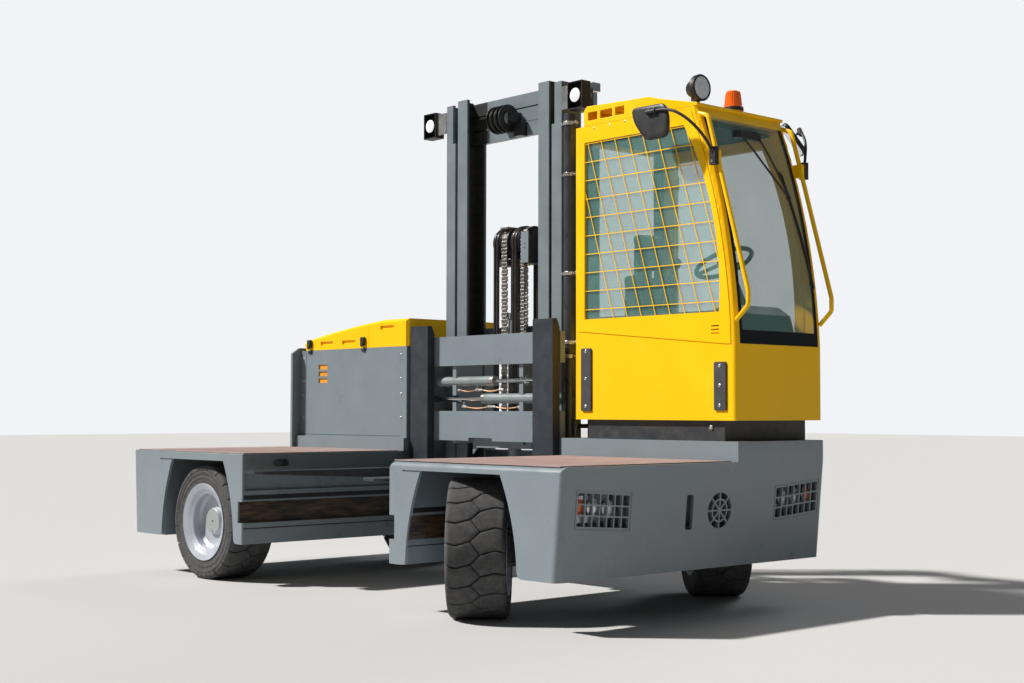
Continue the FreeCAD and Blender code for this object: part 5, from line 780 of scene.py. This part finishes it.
def roof_lamps():
    low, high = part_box("work_lamp")
    middle = (high[0], (low[1] + high[1]) / 2, high[2] - 0.082)
    turned("work_lamp_rim", "chassis", "plastic", middle, AHEAD,
           [(-0.012, 0.0825), (0.004, 0.0835), (0.009, 0.080), (0.009, 0.070), (0.003, 0.068)], 40,
           caps=False)
    turned("work_lamp_lens", "chassis", "lens", middle, AHEAD,
           [(0.0005, 0.069), (0.006, 0.069), (0.0085, 0.050), (0.010, 0.020), (0.010, 0)], 40,
           slot="lamp_lens")
    low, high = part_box("beacon")
    x, y = (low[0] + high[0]) / 2, (low[1] + high[1]) / 2
    turned("beacon_collar", "chassis", "plastic", (x, y, low[2] + 0.006), UP,
           [(0, 0.066), (0.020, 0.066), (0.026, 0.060)], 36)
    ribs = Shape()
    top = Vector((x, y, high[2] - 0.012))
    for k in range(24):
        turn = 2 * math.pi * k / 24
        way = Vector((math.cos(turn), math.sin(turn), 0))
        ribs.rod(Vector((x, y, low[2] + 0.034)) + way * 0.0565, top + way * 0.0455, 0.0022, 6)
    ribs.lathe(top, UP, [(0, 0.046), (0.010, 0.045), (0.0155, 0.038), (0.0165, 0)], 36)
    ribs.done("beacon_ribs", "chassis", "amber")


def rounded(corners, radius, steps=5):
    """A flat outline with its corners rounded."""
    points = []
    count = len(corners)
    for i in range(count):
        here = Vector(corners[i])
        back, ahead = Vector(corners[i - 1]) - here, Vector(corners[(i + 1) % count]) - here
        reach = min(radius, back.length * 0.45, ahead.length * 0.45)
        back, ahead = back.normalized() * reach, ahead.normalized() * reach
        for k in range(steps + 1):
            t = k / steps
            points.append(here + back * (1 - t) ** 2 + ahead * t * t)
    return [tuple(p) for p in points]


def panel(shape, outline, origin, first, second, layers):
    """A flat shell on two axes: layers hold (height off the plane, how far it is drawn in)."""
    origin, first, second = Vector(origin), Vector(first).normalized(), Vector(second).normalized()
    up = first.cross(second)
    middle = sum((Vector(p) for p in outline), Vector((0, 0))) / len(outline)
    rings = []
    for level, inset in layers:
        ring = []
        for point in outline:
            spot = Vector(point)
            spot += (middle - spot).normalized() * inset
            ring.append(origin + first * spot.x + second * spot.y + up * level)
        rings.append(shape.ring(ring))
    shape.close(rings)


NEAR_MIRROR = (AHEAD, UP)
FAR_MIRROR = ((1.985, 1.286, 2.985), (-0.741, 0.671, 0), (0.377, 0.416, -0.827))


def mirrors_trim():
    """Both mirrors with rounded shells, on smoothly bent arms with clamped feet."""
    shells = Shape()
    shape = rounded([(1.618, 3.090), (1.905, 3.086), (1.932, 2.975), (1.916, 2.872), (1.738, 2.868),
                     (1.640, 2.995)], 0.05)
    layers = [(-0.143, 0.004), (-0.128, 0.0), (-0.118, 0.004), (-0.112, 0.014), (-0.109, 0.035)]
    panel(shells, shape, (0, 0, 0), *NEAR_MIRROR, layers)
    far = rounded([(-0.075, -0.125), (0.075, -0.125), (0.082, 0.120), (-0.082, 0.120)], 0.045)
    panel(shells, far, *FAR_MIRROR, [(0.014, 0.004), (0.0, 0.0), (-0.010, 0.004), (-0.016, 0.020)])
    arm = [(1.790, 0.100, 3.040), (1.925, 0.104, 3.050), (2.050, 0.135, 2.985), (2.125, 0.205, 2.880),
           (2.152, 0.268, 2.780), (2.152, 0.284, 2.720)]
    shells.tube(curve_points(arm, 6), 0.0095, 12)
    shells.rod((1.770, 0.099, 3.040), (1.846, 0.099, 3.040), 0.0155, 16, 0.004)
    shells.blocks(((1.776, 0.098, 3.018), (1.800, 0.116, 3.062)),
                  ((1.820, 0.098, 3.018), (1.844, 0.116, 3.062)),
                  ((2.128, 0.266, 2.690), (2.176, 0.3005, 2.800)))
    far_arm = [(2.010, 1.290, 3.020), (2.045, 1.270, 3.035), (2.120, 1.240, 2.960), (2.150, 1.185, 2.800),
               (2.150, 1.172, 2.730)]
    shells.tube(curve_points(far_arm, 6), 0.0095, 12)
    shells.rod((2.020, 1.300, 3.050), (2.065, 1.262, 3.005), 0.017, 14, 0.004)
    shells.block((2.128, 1.1525, 2.690), (2.176, 1.188, 2.800))
    item = shells.done("mirror_shells", "chassis", "plastic", 0.0015)
    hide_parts("mirrors")
    faces = Shape()
    shape = rounded([(1.632, 3.078), (1.895, 3.074), (1.920, 2.972), (1.905, 2.884), (1.746, 2.880),
                     (1.654, 2.992)], 0.045)
    panel(faces, shape, (0, 0.1435, 0), *NEAR_MIRROR, [(0.0, 0.0), (-0.0012, 0.0)])
    far = rounded([(-0.066, -0.116), (0.066, -0.116), (0.072, 0.110), (-0.072, 0.110)], 0.040)
    panel(faces, far, *FAR_MIRROR, [(0.0146, 0.0), (0.0158, 0.0)])
    faces.done("mirror_glass", "chassis", "chrome")
    bolts = Shape()
    heads(bolts, [(2.152, 0.266, z) for z in (2.712, 2.778)], NEAR, 0.008)
    heads(bolts, [(x, 0.098, 3.055) for x in (1.788, 1.832)], NEAR, 0.005, 0.005)
    bolts.done("mirror_bolts", "chassis", "zinc")


# ---- driver's seat and controls ----

def soft_pad(name, low, high, crown, belly):
    """A stuffed pad: a rounded block, blown up as cloth until its faces crown and sides pull in."""
    bm = bmesh.new()
    bmesh.ops.create_cube(bm, size=1)
    for vert in bm.verts:
        vert.co = Vector((low[i] + high[i]) / 2 + vert.co[i] * (high[i] - low[i]) * belly[i]
                         for i in range(3))
    bmesh.ops.bevel(bm, geom=bm.edges[:], offset=crown, segments=4, affect="EDGES", profile=0.6)
    mesh = bpy.data.meshes.new(name)
    bm.to_mesh(mesh)
    bm.free()
    item = placed(name, mesh)
    blow_up(item)
    for face in item.data.polygons:
        face.use_smooth = True
    round_off = item.modifiers.new("round", "SUBSURF")
    round_off.levels = round_off.render_levels = 1
    item.data.materials.append(MATS["fabric"])
    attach(item, "chassis")
    return item


VOXEL = 0.009
BULGE_LIMIT = 0.012


def blow_up(item):
    """Presses the pad outwards as cloth for some frames, and keeps what it became."""
    bpy.context.view_layer.objects.active = item
    remesh = item.modifiers.new("remesh", "REMESH")
    remesh.mode = "VOXEL"
    remesh.voxel_size = VOXEL
    bpy.ops.object.modifier_apply(modifier="remesh")
    cloth_mod = item.modifiers.new("cloth", "CLOTH")
    settings = cloth_mod.settings
    settings.quality = 5
    settings.use_pressure = True
    settings.uniform_pressure_force = 4
    settings.tension_stiffness = settings.compression_stiffness = 25
    settings.shear_stiffness = 12
    settings.effector_weights.gravity = 0
    rest = [v.co.copy() for v in item.data.vertices]
    scene = bpy.context.scene
    for frame_number in range(1, 15):
        scene.frame_set(frame_number)
    held = item.evaluated_get(bpy.context.evaluated_depsgraph_get()).to_mesh()
    moved = []
    for vert, start in zip(held.vertices, rest):
        shift = vert.co - start
        if shift.length > BULGE_LIMIT:
            shift *= BULGE_LIMIT / shift.length
        moved.append(start + shift)
    item.modifiers.remove(cloth_mod)
    for vert, place in zip(item.data.vertices, moved):
        vert.co = place
    scene.frame_set(1)


def seat_trim():
    base = soft_pad("seat_cushion", (1.194, 0.495, 1.430), (1.635, 0.985, 1.546), 0.034, (0.97, 0.97, 0.9))
    back = soft_pad("seat_backrest", (1.155, 0.505, 1.564), (1.263, 0.975, 2.107), 0.034, (0.88, 0.97, 0.98))
    rest = soft_pad("seat_headrest", (1.155, 0.605, 2.140), (1.239, 0.875, 2.376), 0.030, (0.88, 0.97, 0.97))
    for pad in (base, back, rest):
        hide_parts("seat_pads")
    piping = Shape()
    for rear, middle, front in ((0.52, 0.515, 0.53), (0.96, 0.965, 0.95)):
        line = [(1.21, rear, 1.558), (1.42, middle, 1.564), (1.61, front, 1.552)]
        piping.tube(curve_points(line, 6), 0.004, 6)
    piping.done("seat_piping", "chassis", "seal")
    lever = Shape()
    foot = Vector((1.524, 0.44, 1.86))
    tip = Vector((1.640, 0.44, 2.030))
    way = (tip - foot).normalized()
    rings = []
    for k in range(9):
        rings += [(0.020 * k, 0.052 - 0.0035 * k), (0.020 * k + 0.010, 0.040 - 0.0035 * k)]
    lever.lathe(foot, way, rings, 20)
    lever.rod(tip, tip + way * 0.10, 0.012, 12)
    knob = [(0, 0.014), (0.02, 0.026), (0.05, 0.031), (0.075, 0.026), (0.088, 0.008)]
    lever.lathe(tip + way * 0.07, way, knob, 20)
    lever.done("joystick_boot", "chassis", "plastic")


# ---- mast, chains and hoses ----

SHEAVE = (0.557, 2.400)
CORE = 0.0922
CHAIN_PITCH, PIN, PLATE = 0.0254, 0.0042, 0.0070
CHAIN_FRONT, HOSE_FRONT, REAR_END = 1.058, 1.10, 1.503
HOSES = (-0.036, -0.008, 0.158, 0.186)
HOSE_WAY = CORE + 0.0125
ROD_Y = 0.372
FRONT_ROD_Z, REAR_ROD_Z = 1.410, 1.285


def over_sheave(radius, front, rear, steps=24):
    """A path in Y and Z up from front's height, over the free lift's sheaves and down to rear's."""
    y, z = SHEAVE
    path = [(y - radius, front), (y - radius, z)]
    path += [(y - radius * math.cos(math.pi * k / steps), z + radius * math.sin(math.pi * k / steps))
             for k in range(1, steps)]
    return path + [(y + radius, z), (y + radius, rear)]


def walk(path, pitch):
    """Points along a path, pitch apart."""
    spots = [Vector(path[0])]
    left = pitch
    for a, b in zip(path, path[1:]):
        a, b = Vector(a), Vector(b)
        length = (b - a).length
        done = 0
        while length - done >= left:
            done += left
            left = pitch
            spots.append(a + (b - a) * (done / length))
        left -= length - done
    return spots


def link_plate(shape, a, b, low, high, radius):
    """A chain plate: two rounded ends round the pins and a slight waist between them."""
    way = (b - a).normalized()
    side = Vector((-way.y, way.x))
    outline = []
    for centre, sign in ((b, 1), (a, -1)):
        for k in range(5):
            turn = math.radians(-80 + 40 * k)
            outline.append(centre + (way * math.cos(turn) + side * math.sin(turn)) * radius * sign)
        outline.append((a + b) / 2 + side * sign * radius * 0.72)
    shape.plate([tuple(p) for p in outline], "x", low, high)


def leaf_chain(name, x, width):
    """Plates threaded on pins in turn, over the sheave and down both sides."""
    spots = walk(over_sheave(CORE + 0.0072, CHAIN_FRONT, REAR_END), CHAIN_PITCH)
    shape = Shape()
    leaves = 9 if width > 0.05 else 5
    step = width / leaves
    for k, spot in enumerate(spots):
        shape.rod((x - width / 2, spot.x, spot.y), (x + width / 2, spot.x, spot.y), PIN, 8)
        if k + 1 < len(spots):
            for leaf in range(k % 2, leaves, 2):
                low = x - width / 2 + step * leaf + step * 0.08
                link_plate(shape, spot, spots[k + 1], low, low + step * 0.84, PLATE)
    item = shape.done(name, "free_lift", "chain")
    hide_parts("lift_chain")


def drum_hoses():
    """Taut hoses over the drum, with a ferrule at each end."""
    hoses = Shape()
    for x in HOSES:
        path = over_sheave(HOSE_WAY, HOSE_FRONT, REAR_END, 20)
        hoses.tube([(x, y, z) for y, z in path], 0.0120, 12)
    hoses.done("drum_hoses", "free_lift", "hose")
    ends = Shape()
    for x in HOSES:
        for y, z in ((SHEAVE[0] - HOSE_WAY, HOSE_FRONT), (SHEAVE[0] + HOSE_WAY, REAR_END)):
            ends.rod((x, y, z - 0.002), (x, y, z + 0.055), 0.0128, 16)
            ends.lathe((x, y, z - 0.022), UP, [(0, 0.010), (0.004, 0.013), (0.022, 0.013)], 6)
    ends.done("hose_ferrules", "free_lift", "zinc")


def free_lift_trim():
    plate = Shape()
    plate.block((0.2535, 0.4375, 2.238), (0.3295, 0.4395, 2.458))
    plate.done("head_front_plate", "free_lift", "grey", 0.001)
    # The plate's two holes are black discs: painted shade in the holes.
    hole_shades = Shape()
    for z in (2.372, 2.345):
        hole_shades.lathe((0.292, 0.4378, z), NEAR, [(0, 0.0062), (0.0008, 0.0062)], 16)
    hole_shades.done("head_plate_hole_shades", "free_lift", "seal")
    keep = Shape()
    keep.block((0.020, 0.449, 2.498), (0.100, 0.600, 2.509))
    keep.rod((-0.080, *SHEAVE), (0.334, *SHEAVE), 0.016)
    nuts = Shape()
    for x in (0.262, 0.318):
        keep.rod((x, 0.455, 2.228), (x, 0.455, 2.262), 0.007, 6)
        nuts.rod((x, 0.452, 2.215), (x, 0.452, 2.229), 0.009, 6)
    keep.done("head_fittings", "free_lift", "steel", 0.001)
    nuts.done("head_brass", "free_lift", "brass")


def tube_clamps():
    """Zinc clamps on the hose tube, each bolted to a small bracket on the mast."""
    clamps = Shape()
    x, y = 0.692, 0.490
    for z in (1.005, 1.571, 1.665, 2.137, 2.816, 3.170):
        band = [(0, 0.0430), (0, 0.0475), (0.024, 0.0475), (0.024, 0.0430)]
        clamps.lathe((x, y, z - 0.012), UP, band, 32, caps=False)
        for ear, bolt in ((x - 0.058, x - 0.060), (x + 0.058, x + 0.060)):
            clamps.block((ear - 0.012, y - 0.010, z - 0.011), (ear + 0.012, y + 0.010, z + 0.011))
            clamps.rod((bolt, y - 0.022, z), (bolt, y + 0.022, z), 0.006, 6)
    clamps.done("tube_clamps", "reach", "zinc", 0.0015)


def mast_lamp_trim():
    lens = Shape()
    for x in (-0.802, 0.767):
        lens.lathe((x, 0.4662, 3.355), NEAR,
                   [(0, 0.048), (0.003, 0.048), (0.0058, 0.040), (0.007, 0)], 36)
    lens.done("mast_lamp_lenses", "reach", "bright_lens")
    plates = Shape()
    for low, high in ((-0.735, -0.622), (0.622, 0.702)):
        plates.block((low, 0.4785, 3.275), (high, 0.4800, 3.435))
    plates.done("mast_lamp_plates", "reach", "zinc")
    bolts = Shape()
    heads(bolts, [(x, 0.4785, z) for x in (-0.640, 0.640) for z in (3.30, 3.41)], NEAR)
    bolts.done("mast_lamp_bolts", "reach", "zinc")


def sheave_trim():
    """The hub of the sheaves in the mast's head."""
    turned("sheave_hub", "inner_mast", "cylinder", (0.0575, 0.50, 3.30), AHEAD,
           [(0, 0.050), (0.006, 0.050), (0.010, 0.044), (0.014, 0.026), (0.020, 0.024), (0.020, 0.010),
            (0.012, 0.009)], 32)


def carriage_trim():
    """Pipe fittings and pipes between the carriage's bars, and a gland in each barrel's mouth."""
    bits = Shape()
    for x, y, z, length in ((-0.36, 0.362, 1.347, 0.055), (-0.14, 0.362, 1.347, 0.075),
                            (0.10, 0.372, 1.347, 0.050), (-0.30, 0.372, 1.228, 0.045),
                            (-0.02, 0.372, 1.228, 0.085), (0.30, 0.372, 1.224, 0.060)):
        bits.lathe((x, y, z), AHEAD, [(0, 0.008), (0.010, 0.008), (0.010, 0.0125), (0.026, 0.0125),
                                          (0.026, 0.010), (length, 0.009)], 12)
        bits.rod((x + 0.018, y, z), (x + 0.018, y, z + 0.034), 0.006, 8)
    bits.done("carriage_fittings", "carriage", "zinc")
    pipes = Shape()
    for low, high, y, z in ((-0.305, -0.140, 0.362, 1.347), (-0.065, 0.100, 0.364, 1.347),
                            (-0.255, -0.020, 0.372, 1.226), (0.065, 0.300, 0.372, 1.226)):
        pipes.tube([(low + (high - low) * k / 8, y, z - 0.010 * math.sin(math.pi * k / 8)) for k in range(9)],
                   0.0055, 8)
    pipes.done("carriage_pipes", "carriage", "copper")
    glands = Shape()
    for way, x, z in ((1, 0.062, FRONT_ROD_Z), (-1, -0.062, REAR_ROD_Z)):
        glands.lathe((x, ROD_Y, z), (way, 0, 0),
                     [(-0.030, 0.0165), (-0.030, 0.0368), (0, 0.0368), (0.003, 0.034), (0.003, 0.0165),
                      (-0.030, 0.0165)], 32, caps=False)
    bmesh.ops.remove_doubles(glands.bm, verts=glands.bm.verts[:], dist=1e-6)
    glands.done("barrel_glands", "carriage", "steel")


def chrome_rods():
    """Bright rods over the forks' own, from each fork to the mouth of its barrel."""
    for body, way, z in (("front_fork", 1, FRONT_ROD_Z), ("rear_fork", -1, REAR_ROD_Z)):
        rod = Shape()
        rod.rod((0.065 * way, ROD_Y, z), (0.566 * way, ROD_Y, z), 0.0153, 24)
        rod.done(f"{body}_rod", body, "chrome")


# ---- the frame's own pieces ----

WHEELS = ("front_near", "front_far", "rear_near", "rear_far")
DRESS = {
    "yellow": ("cab_shell", "cab_roof", "cab_door", "hood_lid", "window_mesh", "grab_bars"),
    "grey": ("rear_hull", "front_hull", "back_beam", "battery_box", "fork_carriage"),
    "mast_grey": ("outer_mast", "outer_ties", "inner_mast", "reach_frame"),
    "dark": ("front_axle", "rear_drives", "near_knuckle", "far_knuckle", "cab_pedestal",
             "free_lift_head", "lift_cylinders"),
    "tube": ("hose_tube",),
    "fork": ("rear_fork", "front_fork"),
    "chrome": ("lift_rods",),
    "cylinder": ("positioner_barrels", "free_lift_cylinder"),
    "chain": ("lift_chain",),
    "boards": ("deck_boards",),
    "rubber": [f"{wheel}_tyre" for wheel in WHEELS],
    "silver": [f"{wheel}_rim" for wheel in WHEELS],
    "glass": ("side_glass", "windscreen", "rear_glass", "door_glass"),
    "plastic": ("seat_base", "console", "steering_wheel", "mirrors", "work_lamp", "mast_lamps"),
    "fabric": ("seat_pads",),
    "amber": ("beacon",),
    "lens": ("headlamps",),
    "battery": ("battery",),
}

SOFT_EDGE = {"glass": 0.0, "chain": 0.001, "boards": 0.001, "rubber": 0.003, "silver": 0.002,
             "yellow": 0.004, "grey": 0.004}
NODE_EDGE = {"battery_box": 0.0, "free_lift_cylinder": 0.001}


def dress_node(name, kind):
    """Gives a CAD node its material and slightly rounded edges."""
    item = NODES[name]
    item.data.materials.clear()
    item.data.materials.append(MATS[kind])
    weld = item.modifiers.new("weld", "WELD")
    weld.merge_threshold = 0.00002
    flat = item.modifiers.new("flat", "DECIMATE")
    flat.decimate_type = "DISSOLVE"
    flat.angle_limit = math.radians(0.6)
    width = NODE_EDGE.get(name, SOFT_EDGE.get(kind, 0.002))
    if width:
        soften(item, width, 38)
    for face in item.data.polygons:
        face.use_smooth = width > 0 or kind == "glass"
    normal = item.modifiers.new("normal", "WEIGHTED_NORMAL")
    normal.keep_sharp = True
    normal.weight = 80


camera()
studio()
for kind, names in DRESS.items():
    for name in names:
        dress_node(name, kind)
for make in (wheels, battery_box_trim, front_lamps, cab_trim, wipers, roof_lamps, mirrors_trim, seat_trim):
    make()
leaf_chain("middle_leaf_chain", 0.060, 0.057)
leaf_chain("side_leaf_chain", 0.252, 0.038)
for make in (drum_hoses, free_lift_trim, tube_clamps, mast_lamp_trim, sheave_trim, carriage_trim,
             chrome_rods):
    make()
